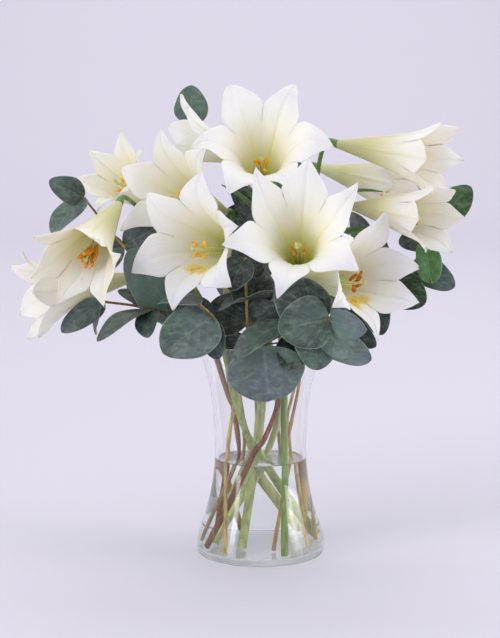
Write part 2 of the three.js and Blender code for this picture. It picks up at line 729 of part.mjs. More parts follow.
Object.entries(blooms).forEach(([name, bloom], number) => {
  const place = { position: vector(bloom.base), matrix: bloomFrame(bloom).matrix };
  addNode(`bloom_${name}_petals`, petalsGeometry(bloom), 0xf7f4ec, 0.5, place);
  addNode(`bloom_${name}_stamens`, stamensGeometry(bloom, number * 31 + 1), 0xd68a2a, 0.8, place);
});

// Bare stems come first, so that every leaf can stay clear of all of them.
const bareStems = {};
const holes = [];
for (const [name, { path, pedicels }] of Object.entries(lilyStems)) {
  const route = standing(path, lilyStemRadius);
  bareStems[name] = lilyStemSolid(route, pedicels);
  holes.push(wetHole(route, lilyStemRadius));
}
for (const [name, { path, radius = twigRadius }] of Object.entries(sprays)) {
  const route = standing(path, radius);
  bareStems[`spray_${name}`] = stemRod(route, radius, twigEnd);
  holes.push(wetHole(route, radius));
}
addNode("water", geometryOf(waterSolid(holes)), 0xe4efe6, 0.02);

function addLeafy(name, stem, leaves, colour) {
  const others = Object.values(bareStems).filter((other) => other !== stem);
  placed.push(...others);
  const whole = leafy(stem, leaves);
  placed.length -= others.length;
  addNode(name, geometryOf(whole), colour, 0.6);
}

for (const [name, { path, leaves }] of Object.entries(lilyStems)) {
  const blades = leaves.map(({ at, tip, half }) => ({
    base: pointOn(path, at), tip: vector(tip), half,
    face: new THREE.Vector3(0, -0.4, 1), bow: lanceBow, fold: lanceFold,
  }));
  addLeafy(`lily_stem_${name}`, bareStems[name], blades, 0x6f9a52);
}

// Opposite pairs of leaves along a twig, each pair a quarter turn round from the one before it.
function pairedLeaves(path, { from, to, count, length }, seed) {
  const curve = curveOf(path);
  return Array.from({ length: count * 2 }, (_, i) => {
    const level = Math.floor(i / 2);
    const at = (from + ((to - from) * level) / (count - 1)) / (path.length - 1);
    const base = curve.getPoint(at);
    const forward = curve.getTangent(at);
    const level0 = new THREE.Vector3().crossVectors(forward, new THREE.Vector3(0, 0, 1)).normalize();
    const angle = Math.PI * (level / 2 + (i % 2)) + 0.5 * (scatter(seed + i) - 0.5) + 0.4;
    const out = level0.applyAxisAngle(forward, angle);
    const size = length * (1 - (0.3 * level) / count) * (0.92 + 0.16 * scatter(seed + i + 50));
    const along = out.clone().multiplyScalar(0.9).addScaledVector(forward, 0.4).normalize();
    return {
      base, tip: base.clone().addScaledVector(along, size), half: size * 0.46,
      face: forward.clone().addScaledVector(out, -0.4), bow: leafBow, fold: leafFold,
    };
  });
}

Object.entries(sprays).forEach(([name, { path, radius = twigRadius, leaves, pairs }], number) => {
  const route = standing(path, radius);
  const blades = pairs
    ? pairedLeaves(route, pairs, number * 17)
    : leaves.map(({ at, tip, half, tilt = 0, stalk }) => {
        const base = stalk ? vector(stalk.at(-1)) : pointOn(route, at);
        const along = vector(tip).sub(base).normalize();
        const face = vector(leafFace).applyAxisAngle(along, radians(tilt));
        const bent = stalk && [pointOn(route, at), ...stalk.slice(0, -1).map(vector)];
        return { base, tip: vector(tip), half, face, bow: leafBow, fold: leafFold, stalk: bent };
      });
  addLeafy(`eucalyptus_${name}`, bareStems[`spray_${name}`], blades, 0x5f7a6c);
});

export default part;
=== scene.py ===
# Lilies in a vase. Twelve white trumpet lilies and round-leaved eucalyptus stand in water in a waisted glass vase.
from math import asin, cos, dist, exp, pi, radians, sin, sqrt, tan
import bpy
from mathutils import Matrix, Quaternion, Vector
from mathutils.kdtree import KDTree


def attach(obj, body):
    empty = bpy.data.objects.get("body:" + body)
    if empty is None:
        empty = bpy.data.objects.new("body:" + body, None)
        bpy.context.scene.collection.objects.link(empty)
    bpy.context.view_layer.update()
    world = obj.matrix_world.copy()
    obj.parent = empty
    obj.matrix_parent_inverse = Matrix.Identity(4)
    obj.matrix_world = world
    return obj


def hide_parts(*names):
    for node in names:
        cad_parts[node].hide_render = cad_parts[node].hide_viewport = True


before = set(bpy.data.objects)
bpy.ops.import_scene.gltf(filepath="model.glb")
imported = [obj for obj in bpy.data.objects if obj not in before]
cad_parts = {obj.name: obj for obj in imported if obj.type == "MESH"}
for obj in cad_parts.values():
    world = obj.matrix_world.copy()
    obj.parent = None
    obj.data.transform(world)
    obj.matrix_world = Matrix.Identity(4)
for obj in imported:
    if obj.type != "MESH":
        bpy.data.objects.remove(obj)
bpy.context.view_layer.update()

mm = 0.001
print("frame loaded,", len(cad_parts), "nodes")


def scatter(n):  # the same number from 0 to 1 for the same n, as in the CAD
    value = sin(n * 12.9898) * 43758.5453
    return value - value // 1


def smooth(low, high, value):  # 0 below low, 1 above high, with soft ends
    t = min(1, max(0, (value - low) / (high - low)))
    return t * t * (3 - 2 * t)


def throughPoints(table, t):  # a smooth value through a table of (place, value)
    for i in range(len(table) - 1):
        (t0, a), (t1, b) = table[i], table[i + 1]
        if t <= t1:
            before = table[i - 1] if i else (2 * t0 - t1, 2 * a - b)
            after = table[i + 2] if i + 2 < len(table) else (2 * t1 - t0, 2 * b - a)
            slope0 = (b - before[1]) / (t1 - before[0]) * (t1 - t0)
            slope1 = (after[1] - a) / (after[0] - t0) * (t1 - t0)
            s = (t - t0) / (t1 - t0)
            return (
                (2 * s**3 - 3 * s**2 + 1) * a + (s**3 - 2 * s**2 + s) * slope0
                + (-2 * s**3 + 3 * s**2) * b + (s**3 - s**2) * slope1
            )
    return table[-1][1]


def pointOn(path, at):  # the same smooth curve through the points as in the CAD
    points = [Vector(p) for p in path]
    i = min(int(at), len(points) - 2)
    w = at - i
    p1, p2 = points[i], points[i + 1]
    p0 = points[i - 1] if i else 2 * p1 - p2
    p3 = points[i + 2] if i + 2 < len(points) else 2 * p2 - p1
    t0, t1 = (p2 - p0) / 2, (p3 - p1) / 2
    return p1 + t0 * w + (3 * (p2 - p1) - 2 * t0 - t1) * w**2 + (2 * (p1 - p2) + t0 + t1) * w**3


def smoothLine(path, steps):
    last = len(path) - 1
    return [pointOn(path, last * i / (last * steps)) for i in range(last * steps + 1)]


def only(*pieces):
    bpy.ops.object.select_all(action="DESELECT")
    for piece in pieces:
        piece.select_set(True)
    bpy.context.view_layer.objects.active = pieces[0]


def mode(name):
    bpy.ops.object.mode_set(mode=name)


def joined(name, pieces):
    only(*pieces)
    if len(pieces) > 1:
        bpy.ops.object.join()
    piece = bpy.context.object
    piece.name = piece.data.name = name
    return piece


def setTone(piece, tone):  # a number at each corner, which the materials read
    tones = piece.data.attributes.new("tone", "FLOAT", "POINT")
    tones.data.foreach_set("value", [tone] * len(piece.data.vertices))


def sheet(name, look, place, materials, tone=0.5):
    # a grid whose corners run from -1 to 1 across and 0 to 1 along, each put where place(across, along) says
    bpy.ops.mesh.primitive_grid_add(x_subdivisions=look["columns"], y_subdivisions=look["rows"], size=2)
    piece = bpy.context.object
    piece.name = name
    for vertex in piece.data.vertices:
        vertex.co = place(vertex.co.x, (vertex.co.y + 1) / 2) * mm
    for material in materials:
        piece.data.materials.append(material)
    setTone(piece, tone)
    return piece


def rod(name, line, radii, sides, material, tone=0.5):
    # a round bar along a line of points in mm, with a radius at each
    curve = bpy.data.curves.new(name, "CURVE")
    curve.dimensions = "3D"
    curve.bevel_depth = mm
    curve.bevel_resolution = sides // 2 - 2
    curve.use_fill_caps = True
    spline = curve.splines.new("POLY")
    spline.points.add(len(line) - 1)
    for point, place, radius in zip(spline.points, line, radii):
        point.co = (*(place * mm), 1)
        point.radius = radius
    piece = bpy.data.objects.new(name, curve)
    bpy.context.collection.objects.link(piece)
    only(piece)
    bpy.ops.object.convert(target="MESH")
    piece = bpy.context.object
    piece.data.materials.clear()
    piece.data.materials.append(material)
    setTone(piece, tone)
    bpy.ops.object.shade_smooth()
    return piece


def thicken(piece, thickness):
    # welds a thin sheet and gives it both its faces, with the second material on its back
    weldDistance = 0.00002
    only(piece)
    mode("EDIT")
    bpy.ops.mesh.select_all(action="SELECT")
    bpy.ops.mesh.remove_doubles(threshold=weldDistance)
    mode("OBJECT")
    solid = piece.modifiers.new("thickness", "SOLIDIFY")
    solid.thickness = thickness * mm
    solid.offset = 0
    solid.material_offset = 1
    only(piece)
    bpy.ops.object.modifier_apply(modifier=solid.name)
    bpy.ops.object.shade_smooth()


def standFor(piece, slot, *nodes):
    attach(piece, "root")
    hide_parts(*nodes)


class Finish:
    # a Principled material with its nodes added one by one, and its colours laid over one another
    def __init__(self, name, specular=0.5, **values):
        self.material = bpy.data.materials.new(name)
        self.material.use_nodes = True
        self.nodes = self.material.node_tree.nodes
        self.links = self.material.node_tree.links
        self.shader = self.nodes["Principled BSDF"]
        for socket, value in {"Specular IOR Level": specular, **values}.items():
            self.shader.inputs[socket].default_value = value

    def add(self, kind, inputs=(), **settings):
        node = self.nodes.new(kind)
        for key, value in settings.items():
            setattr(node, key, value)
        for socket, value in dict(inputs).items():
            self.put(node.inputs[socket], value)
        return node

    def put(self, socket, value):
        if hasattr(value, "is_output"):
            self.links.new(value, socket)
        else:
            socket.default_value = value

    def math(self, operation, a, b=0.0, clamp=False):
        return self.add("ShaderNodeMath", {0: a, 1: b}, operation=operation, use_clamp=clamp).outputs[0]

    def plus(self, a, b, clamp=False):
        return self.math("ADD", a, b, clamp)

    def minus(self, a, b):
        return self.math("SUBTRACT", a, b)

    def times(self, a, b):
        return self.math("MULTIPLY", a, b)

    def span(self, value, low, high, start=0.0, end=1.0):  # a smooth step from low to high
        inputs = {"Value": value, "From Min": low, "From Max": high, "To Min": start, "To Max": end}
        return self.add("ShaderNodeMapRange", inputs, interpolation_type="SMOOTHSTEP").outputs[0]

    def mix(self, share, a, b, blend="MIX"):
        node = self.add("ShaderNodeMix", data_type="RGBA", blend_type=blend)
        for socket, value in ((0, share), (6, a), (7, b)):
            self.put(node.inputs[socket], value)
        return node.outputs[2]

    def over(self, colour, share, blend="MIX"):  # lays a colour over those so far
        self.colour = self.mix(share, self.colour, colour, blend)
        self.put(self.shader.inputs["Base Color"], self.colour)

    def where(self, colour, value, low, high, share=1.0, blend="MIX"):  # the same, as a value goes from low to high
        self.over(colour, self.span(value, low, high, 0.0, share), blend)

    def noise(self, scale, detail, roughness=0.5, on=None):  # scale is a number, or one for each axis
        place = on or self.place()
        if isinstance(scale, tuple):
            place, scale = self.add("ShaderNodeMapping", {"Vector": place, "Scale": scale}).outputs[0], 1.0
        inputs = {"Vector": place, "Scale": scale, "Detail": detail, "Roughness": roughness}
        return self.add("ShaderNodeTexNoise", inputs).outputs["Fac"]

    def place(self):
        return self.add("ShaderNodeTexCoord").outputs["Object"]

    def sheetPlace(self):  # the UV, the distance from the midrib and the place along the leaf or petal
        uv = self.add("ShaderNodeUVMap", uv_map="UVMap").outputs[0]
        parts = self.add("ShaderNodeSeparateXYZ", {0: uv})
        return uv, self.math("ABSOLUTE", self.minus(parts.outputs[0], 0.5)), parts.outputs[1]

    def tone(self):
        return self.add("ShaderNodeAttribute", attribute_name="tone").outputs["Fac"]

    def bump(self, height, distance, strength):
        node = self.add("ShaderNodeBump", {"Height": height, "Distance": distance, "Strength": strength})
        self.links.new(node.outputs[0], self.shader.inputs["Normal"])

    def rough(self, value, smoothest, roughest, low=0.3, high=0.7):
        self.put(self.shader.inputs["Roughness"], self.span(value, low, high, smoothest, roughest))

    def lettingLampsThrough(self, tint):  # a shadow ray passes straight through, so clear things aren't dark inside
        clear = self.add("ShaderNodeBsdfTransparent", {"Color": tint})
        either = self.add("ShaderNodeMixShader", {0: self.add("ShaderNodeLightPath").outputs["Is Shadow Ray"]})
        self.links.new(self.shader.outputs[0], either.inputs[1])
        self.links.new(clear.outputs[0], either.inputs[2])
        self.links.new(either.outputs[0], self.nodes["Material Output"].inputs["Surface"])


def rgb(*screen):  # from screen values of 0 to 255
    return *(c / 255 / 12.92 if c < 10.3 else ((c / 255 + 0.055) / 1.055) ** 2.4 for c in screen), 1


petalLook = {
    "white": rgb(252, 249, 246), "shade": rgb(242, 237, 224), "cream": rgb(250, 243, 210),
    "warm": rgb(247, 236, 190), "throat": rgb(240, 240, 178), "deep": rgb(220, 226, 124),
    "backRib": rgb(220, 222, 180), "backTube": rgb(220, 218, 146), "tip": rgb(214, 206, 160),
    "pollen": rgb(247, 204, 92), "thickPollen": rgb(228, 138, 30),
    "patchScale": 28, "streakScale": (30, 1.6, 1), "pollenScale": 330, "veinScale": (46, 2.2, 1), "skinScale": 900,
}


def petalFinish(name, back):
    look = petalLook
    glow = {"Subsurface Weight": 0.8, "Subsurface Scale": 0.0012, "Subsurface Radius": (1.0, 0.95, 0.7)}
    finish = Finish(name, 0.3, **glow)
    uv, fromRib, along = finish.sheetPlace()
    patches = finish.noise(look["patchScale"], 4)
    finish.colour = look["white"]
    finish.where(look["shade"], patches, 0.4, 0.8, 0.4)
    finish.where(look["shade"], finish.noise(look["streakScale"], 4, on=uv), 0.5, 0.8, 0.25)
    if back:
        finish.where(look["backTube"], along, 0.8, 0.25, 0.8)
        rib = finish.times(finish.span(fromRib, 0.13, 0.02), finish.span(along, 1.0, 0.5))
        finish.over(look["backRib"], finish.times(rib, 0.6))
    else:
        finish.where(look["cream"], along, 0.92, 0.5, 0.75)
        wavy = finish.plus(along, finish.times(fromRib, 0.3))
        finish.where(look["throat"], wavy, 0.66, 0.32)
        finish.where(look["deep"], wavy, 0.4, 0.1)
        rib = finish.times(finish.span(fromRib, 0.07, 0.01), finish.span(along, 0.97, 0.5))
        finish.over(look["throat"], finish.times(rib, 0.25))
        # pollen lies thickest next to the anthers
        grains = finish.span(finish.noise(look["pollenScale"], 4), 0.3, 0.7, -0.14, 0.14)
        dust = finish.plus(finish.math("MAXIMUM", finish.tone(), 0.0), grains)
        finish.where(look["pollen"], dust, 0.2, 0.75, 0.85)
        finish.where(look["thickPollen"], dust, 0.75, 1.2, 0.8)
    finish.where(look["warm"], finish.tone(), 0.0, -1.0, 0.5, "MULTIPLY")
    finish.where(look["tip"], along, 0.98, 0.998, 0.5)
    skin = finish.times(finish.noise(look["skinScale"], 2), 0.15)
    height = finish.plus(finish.noise(look["veinScale"], 3, on=uv), skin)
    groove = finish.span(fromRib, 0.1, 0.0, 0.0, -0.3)
    finish.bump(finish.plus(height, groove), 0.0009, 0.7)
    finish.rough(patches, 0.42, 0.6)
    return finish.material


leafGreens = (rgb(28, 46, 22), rgb(66, 120, 46))
lanceGreens = (rgb(40, 74, 26), rgb(88, 132, 54))
leafLook = {
    "patchScale": 40, "bloomScale": (130, 130, 208), "greenerScale": 16, "spotScale": 240, "uneven": 1.2,
    "sideVeins": 44.0, "slant": 0.75, "wobble": 0.12, "veinShare": 0.17, "edgeHighlightShare": 0.42, "bloomShare": 0.26,
    "spotShare": 0.4, "greener": (0.84, 1.0, 0.8, 1), "spot": rgb(84, 72, 52),
}


def leafFinish(name, greys, greens, rim, roughness, dust):
    # tone 0 to 1 runs from the dark to the pale grey, and 1 to 2 from the dark to the bright green; each leaf's
    # tone is partly its own colour and partly painted shade or light, dark for leaves in shade and pale for lit
    # ones
    look = leafLook
    finish = Finish(name, 0.4, **{"Sheen Weight": dust, "Sheen Roughness": 0.6})
    _, fromRib, along = finish.sheetPlace()
    tone = finish.tone()
    patches = finish.noise(look["patchScale"], 5, 0.62)
    change = finish.minus(patches, 0.5)
    uneven = finish.times(change, look["uneven"])
    grey = finish.mix(finish.plus(tone, uneven, clamp=True), *greys)
    green = finish.mix(finish.plus(finish.minus(tone, 1.0), uneven, clamp=True), *greens)
    finish.colour = finish.mix(finish.math("GREATER_THAN", tone, 1.0), grey, green)
    # side veins leave the midrib at a slant
    slant = finish.minus(along, finish.times(fromRib, look["slant"]))
    wobbly = finish.plus(slant, finish.times(change, look["wobble"]))
    waves = finish.math("SINE", finish.times(wobbly, look["sideVeins"]))
    midrib = finish.times(finish.span(fromRib, 0.03, 0.004), finish.span(along, 1.0, 0.6))
    veins = finish.math("MAXIMUM", midrib, finish.span(waves, 0.8, 1.0, 0.0, 0.45))
    finish.over(rim, finish.times(veins, look["veinShare"]))
    # the pale bloom that rubs off, a painted highlight along the rim, and a greener tint and brown spots here and
    # there
    bloom = finish.noise(look["bloomScale"], 4, 0.6)
    finish.where(rim, bloom, 0.42, 0.72, look["bloomShare"])
    # painted highlight: the pale colour is laid along the edge and the ends of each leaf
    fromEnds = finish.math("MINIMUM", along, finish.minus(1.0, along))
    edge = finish.math("MAXIMUM", finish.span(fromRib, 0.474, 0.496), finish.span(fromEnds, 0.012, 0.002))
    finish.over(rim, finish.times(edge, look["edgeHighlightShare"]))
    greener = finish.noise(look["greenerScale"], 2)
    finish.where(look["greener"], greener, 0.42, 0.62, 1.0, "MULTIPLY")
    spots = finish.noise(look["spotScale"], 3)
    finish.where(look["spot"], spots, 0.68, 0.76, look["spotShare"])
    finish.bump(finish.plus(finish.times(veins, -0.5), finish.times(patches, 0.6)), 0.0006, 0.7)
    finish.rough(patches, roughness - 0.08, roughness + 0.1)
    return finish.material


stemLook = {"lineScale": (500, 500, 12), "patchScale": (60, 60, 40), "fleckScale": (160, 160, 70)}


def stemFinish(name, low, high, pale, stripe, roughness):
    # one colour in the vase and another above it; tone 1 is a pale stem
    finish = Finish(name, 0.3)
    height = finish.add("ShaderNodeSeparateXYZ", {0: finish.place()}).outputs[2]
    lines, patches = finish.noise(stemLook["lineScale"], 4), finish.noise(stemLook["patchScale"], 4)
    finish.colour = low
    finish.where(high, height, 0.13, 0.24)
    finish.over(pale, finish.tone())
    finish.where(stripe, lines, 0.42, 0.72, 0.6)
    finish.where(stripe, patches, 0.5, 0.8, 0.5)
    finish.where(pale, finish.noise(stemLook["fleckScale"], 3), 0.56, 0.74, 0.45)
    finish.bump(lines, 0.0004, 0.6)
    finish.rough(patches, roughness - 0.08, roughness + 0.1)
    return finish.material


def pollenFinish(name, light, dark, grain):  # tone runs from the light to the dark colour
    finish = Finish(name, 0.2)
    dots = finish.noise(grain, 4)
    finish.colour = light
    finish.over(dark, finish.plus(finish.tone(), finish.span(dots, 0.3, 0.7, -0.3, 0.3), clamp=True))
    finish.bump(dots, 0.0005, 0.8)
    finish.rough(dots, 0.75, 0.95)
    return finish.material


petalInside = petalFinish("petal inside", False)
petalBack = petalFinish("petal back", True)
# the dark ends of these greys also serve as painted shade for leaves that lie in shade under the blooms
topGreys = (rgb(15, 28, 22), rgb(108, 124, 126))
underGreys = (rgb(36, 54, 46), rgb(132, 150, 148))
leafTop = leafFinish("eucalyptus leaf top", topGreys, leafGreens, rgb(158, 176, 166), 0.42, 0.12)
leafUnder = leafFinish("eucalyptus leaf underside", underGreys, leafGreens, rgb(172, 184, 174), 0.58, 0.2)
lanceTop = leafFinish("lily leaf top", lanceGreens, lanceGreens, rgb(128, 158, 84), 0.4, 0.05)
lanceUnder = leafFinish("lily leaf underside", lanceGreens, lanceGreens, rgb(140, 168, 104), 0.55, 0.05)
lilyGreen = stemFinish("lily stem", rgb(112, 138, 50), rgb(84, 126, 50), rgb(208, 206, 148), rgb(70, 96, 34), 0.3)
twigBark = stemFinish("eucalyptus twig", rgb(120, 66, 6), rgb(124, 98, 62), rgb(200, 172, 110), rgb(50, 22, 8), 0.5)
antherRust = pollenFinish("anther", rgb(252, 190, 62), rgb(168, 84, 30), 900)
filamentPale = pollenFinish("filament", rgb(230, 232, 178), rgb(200, 210, 130), 300)
stigmaGreen = pollenFinish("stigma", rgb(222, 216, 150), rgb(176, 168, 92), 500)
print("materials ready")

# base is where the tube starts, in mm. turn, lift and roll say where the flower faces, and open how far its petals
# bend back, in degrees. sway and flare hold one value for each petal, clockwise from the top one. pinch narrows the
# ends of the petals, cream colours them, and reach is the stamens' share of the length. Then come the brownness and
# length of the anthers, the pollen that has fallen from them, and the size of the stigma.
bloomColumns = (
    "base", "turn", "lift", "roll", "length", "open", "wide", "sway", "flare",
    "pinch", "cream", "reach", "brown", "anther", "fallen", "stigma",
)
bloomRows = {
    "top": ((2, 44, 330), -1, 33, -30, 138, 102, 1.2, (0, -2, 8, 7, -4, -9), (-2, -4, 7, -14, 5, 3),
        0.12, 0.1, 0.45, 0.2, 6.5, 0.9, 1.1),
    "centre": ((35, -27, 266), -3, 28, 10, 138, 115, 1.2, (-3, -19, -4, 4, 6, 17), (6, -5, 2, 2, -2, -5),
        0.32, 0.1, 0.45, 0.5, 5, 0.45, 1.7),
    "left": ((-10, 21, 280), -32, 10, 8, 137, 92, 1.3, (1, 8, -1, -2, -9, 3), (8, -22, 10, -4, 3, 0),
        0.12, 0.1, 0.6, 0.1, 6.5, 1.1, 1.2),
    "low_right": ((31, 21, 252), 42, 8, 13, 131, 85, 1.2, (8, 16, -13, -6, -7, 2), (-4, 1, 8, -13, 14, -6),
        0.22, 0.25, 0.6, 0.85, 9, 1.25, 1),
    "far_left": ((-130, 5, 324), -19, -26, 25, 123, 45, 1.3, (20, -14, 2, 9, -8, -8), (-6, 20, -10, -3, -2, 0),
        0.3, 0.8, 0.6, 0.4, 18, 0.9, 1),
    "low_left": ((-118, 7, 257), -71, -9, 14, 114, 55, 1.3, (2, 0, 0, 14, -11, -5), (6, 0, 5, 5, 2, -10),
        0.12, 0.45, 0.6, 0.4, 9, 0.3, 1),
    "upper_left": ((-95, 130, 305), -43, 33, -3, 101, 68, 1.2, (-4, 0, 0, -8, 12, 0), (-4, 0, 0, 12, -8, 6),
        0.3, 0.6, 0.6, 0, 5, 0.1, 0.8),
    "mid_left": ((-34, 95, 310), -33, 16, 45, 129, 92, 1.15, (0, 0, 0, 0, 3, -2), (0, 0, 0, 0, 0, -1),
        0.25, 0.4, 0.6, 0, 5, 0.2, 0.8),
    "top_left": ((-2, 116, 357), -78, 18, 43, 101, 60, 1.1, (4, 0, 0, 0, -4, 0), (8, 0, 0, 0, 0, 0),
        0.12, 0.1, 0.6, 0.4, 9, 0.3, 1),
    "upper_right": ((73, 49, 377), 57, -6, 36, 118, 27, 1.25, (1, -3, -1, 3, 0, 0), (-3, 1, -2, -8, 0, 0),
        0.12, 0.45, 0.6, 0.4, 9, 0.3, 1),
    "right": ((87, 36, 320), 42, -2, 33, 115, 12, 1.25, (-3, 0, 1, 2, 0, 0), (-9, 0, 3, 0, 0, -4),
        0.12, 0.4, 0.6, 0.4, 9, 0.3, 1),
    "back_right": ((58, 99, 352), 56, -11, -13, 107, 34, 1.1, (0, 0, 0, 0, 0, 0), (7, 0, 0, 0, 0, 0),
        0.12, 0.3, 0.6, 0.4, 9, 0.3, 1),
}
blooms = {name: dict(zip(bloomColumns, row)) for name, row in bloomRows.items()}
petalShape = {
    "tubeLean": 12, "flarePower": 4, "tubeRadius": 4, "splitAt": 0.7, "thickness": 0.28, "columns": 18, "rows": 46,
    "usualLength": 140, "joinedTo": 0.63, "recurve": 1.15, "pinchFrom": 0.72, "flatTo": 0.95, "corner": 8,
    "twist": 9, "tipCurl": 3.2, "lineSteps": 40,
}
innerPetal = {"half": 21, "taper": 1.45, "gap": -0.17, "overlap": 0.1}
outerPetal = {"half": 18, "taper": 1.25, "gap": 0.17, "overlap": 0}
narrowBloom = {"flatFrom": 0.62, "wider": 1.2}  # a flower that opens less than 40 degrees
openBloom = {"flatFrom": 0.5, "wider": 1}
# the waves of the rim and the flutter on them, and the raised band of ribs along the middle, in mm
petalRelief = {"ruffle": 1.4, "waves": 6, "flutter": 0.4, "flutterWaves": 21, "rib": 1.0, "sideRibAt": 0.26}
# how far the tips of some petals, counted clockwise from the top one, curl back, in mm
tipCurls = {
    "top": {0: 7, 1: 8, 2: 5, 5: 6}, "left": {5: 8, 3: 7, 2: 6, 4: 4}, "centre": {2: 5, 4: 5},
    "low_right": {0: 6, 1: 5, 3: 6}, "mid_left": {4: 7, 5: 6}, "upper_right": {1: 6, 3: 5}, "right": {2: 7, 3: 6},
}


def bloomFrame(bloom):
    a, e = radians(bloom["turn"]), radians(bloom["lift"])
    axis = Vector((sin(a) * cos(e), -cos(a) * cos(e), sin(e)))
    side = Vector((cos(a), sin(a), 0))
    facing = Matrix((axis.cross(side), -side, axis)).transposed().to_4x4()
    return axis, Matrix.Translation(Vector(bloom["base"])) @ facing


def petalLine(bloom, petal):
    # distance from the axis, height and lean of the petal's middle line at each step, as in the CAD
    look = petalShape

    def leanAt(v):
        lobe = max(0, (v - look["splitAt"]) / (1 - look["splitAt"]))
        opening = (bloom["open"] - look["tubeLean"]) * v ** look["flarePower"]
        return radians(look["tubeLean"] + opening + bloom["flare"][petal] * lobe)

    steps = look["lineSteps"]
    step = bloom["length"] / steps
    line = [(look["tubeRadius"], 0.0, leanAt(0))]
    for i in range(steps):
        lean = leanAt((i + 0.5) / steps)
        radius, rise = line[-1][0] + step * sin(lean), line[-1][1] + step * cos(lean)
        line.append((radius, rise, leanAt((i + 1) / steps)))
    return line


def makePetal(name, bloom, petal, place, seed):
    look, relief = petalShape, petalRelief
    line = petalLine(bloom, petal)
    own = outerPetal if petal % 2 else innerPetal
    kind = narrowBloom if bloom["open"] < 40 else openBloom
    half = own["half"] * (bloom["wide"] * bloom["length"] / look["usualLength"])
    parted = look["joinedTo"]
    phase = 6.3 * scatter(seed)
    twist = radians(look["twist"] * (scatter(seed + 1) - 0.5))
    curl = tipCurls.get(name, {}).get(petal, look["tipCurl"] * (0.5 + scatter(seed + 2)))
    curlFrom = 0.86 - 0.012 * curl

    def point(u, v):
        low = min(int(v * look["lineSteps"]), look["lineSteps"] - 1)
        share = v * look["lineSteps"] - low
        radius, rise, lean = (a + (b - a) * share for a, b in zip(line[low], line[low + 1]))
        radius += own["gap"] * smooth(parted, parted + 0.06, v)
        lobe = max(0, (v - look["splitAt"]) / (1 - look["splitAt"]))
        angle = -radians(bloom["roll"] + 60 * petal + bloom["sway"][petal] * lobe)
        out = Vector((cos(angle), sin(angle), 0))
        across = Vector((sin(angle), -cos(angle), 0))
        face = Vector((0, 0, sin(lean))) - out * cos(lean)
        # edge to edge with its neighbours in the tube, then past or behind them, and at last tapering to a point
        flat = smooth(kind["flatFrom"], look["flatTo"], v)
        roundness = 1 - look["recurve"] * flat
        if abs(roundness) < 0.001:  # never quite flat, for the bend below
            roundness = 0.001
        bend = roundness / radius
        inTube = (pi / 6 + asin((roundness - 1) / 2)) / bend
        inTube *= 1 + own["overlap"] * smooth(parted + 0.03, parted + 0.12, v)
        free = half * (1 - lobe ** own["taper"]) * kind["wider"]
        free = max(free * (1 - bloom["pinch"] * smooth(look["pinchFrom"], look["flatTo"], v)), 0.02)
        narrowed = (inTube ** -look["corner"] + free ** -look["corner"]) ** (-1 / look["corner"])
        width = inTube + (narrowed - inTube) * smooth(parted, parted + 0.1, v)
        sideways, inwards = sin(bend * u * width) / bend, (1 - cos(bend * u * width)) / bend
        edge = abs(u)
        wave = relief["ruffle"] * smooth(0.7, 0.9, v) * edge**2
        wave *= sin(relief["waves"] * v + petal * 2.1 + 1.3 * u)
        flutter = sin(relief["flutterWaves"] * v + phase + 2 * u)
        wave += relief["flutter"] * smooth(0.74, 0.88, v) * edge**3 * flutter
        keel = relief["rib"] * smooth(0.15, 0.6, v) * (1 - smooth(0.9, 1, v))
        wave -= keel * (0.5 * exp(-((u / 0.1) ** 2)) + 0.7 * (1 - edge) ** 2)
        wave += 0.3 * keel * exp(-(((edge - relief["sideRibAt"]) / 0.13) ** 2))
        wave += lobe * u * width * tan(twist) - curl * smooth(curlFrom, 1, v) ** 2
        return (
            out * radius + Vector((0, 0, rise)) + across * sideways
            + (-out).lerp(face, flat).normalized() * inwards + face * wave
        )

    return sheet("petal", look, lambda u, v: place @ point(u, v), (petalInside, petalBack))


pollenFall = {"reach": 9, "below": 0.3}  # it lies mostly below the anthers


def makeBlossom(name, bloom, number, place, anthers):
    petals = [makePetal(name, bloom, k, place, number * 7 + k * 3.1) for k in range(6)]
    piece = joined("petals_" + name, petals)
    thicken(piece, petalShape["thickness"])
    dust = []
    for vertex in piece.data.vertices:
        near = 100
        for anther in anthers:
            away = vertex.co / mm - anther
            if away.z < 0:
                away.z *= pollenFall["below"]
            near = min(near, away.length)
        here = bloom["fallen"] * exp(-((near / pollenFall["reach"]) ** 2))
        dust.append(here - bloom["cream"] * (1 - min(here, 1)))
    piece.data.attributes["tone"].data.foreach_set("value", dust)
    standFor(piece, "petals", f"bloom_{name}_petals")


stamenShape = {"usualReach": 84, "antherRadius": 1.35, "filament": 0.75, "droop": -6.5, "sag": 0.04, "bow": 0.9}


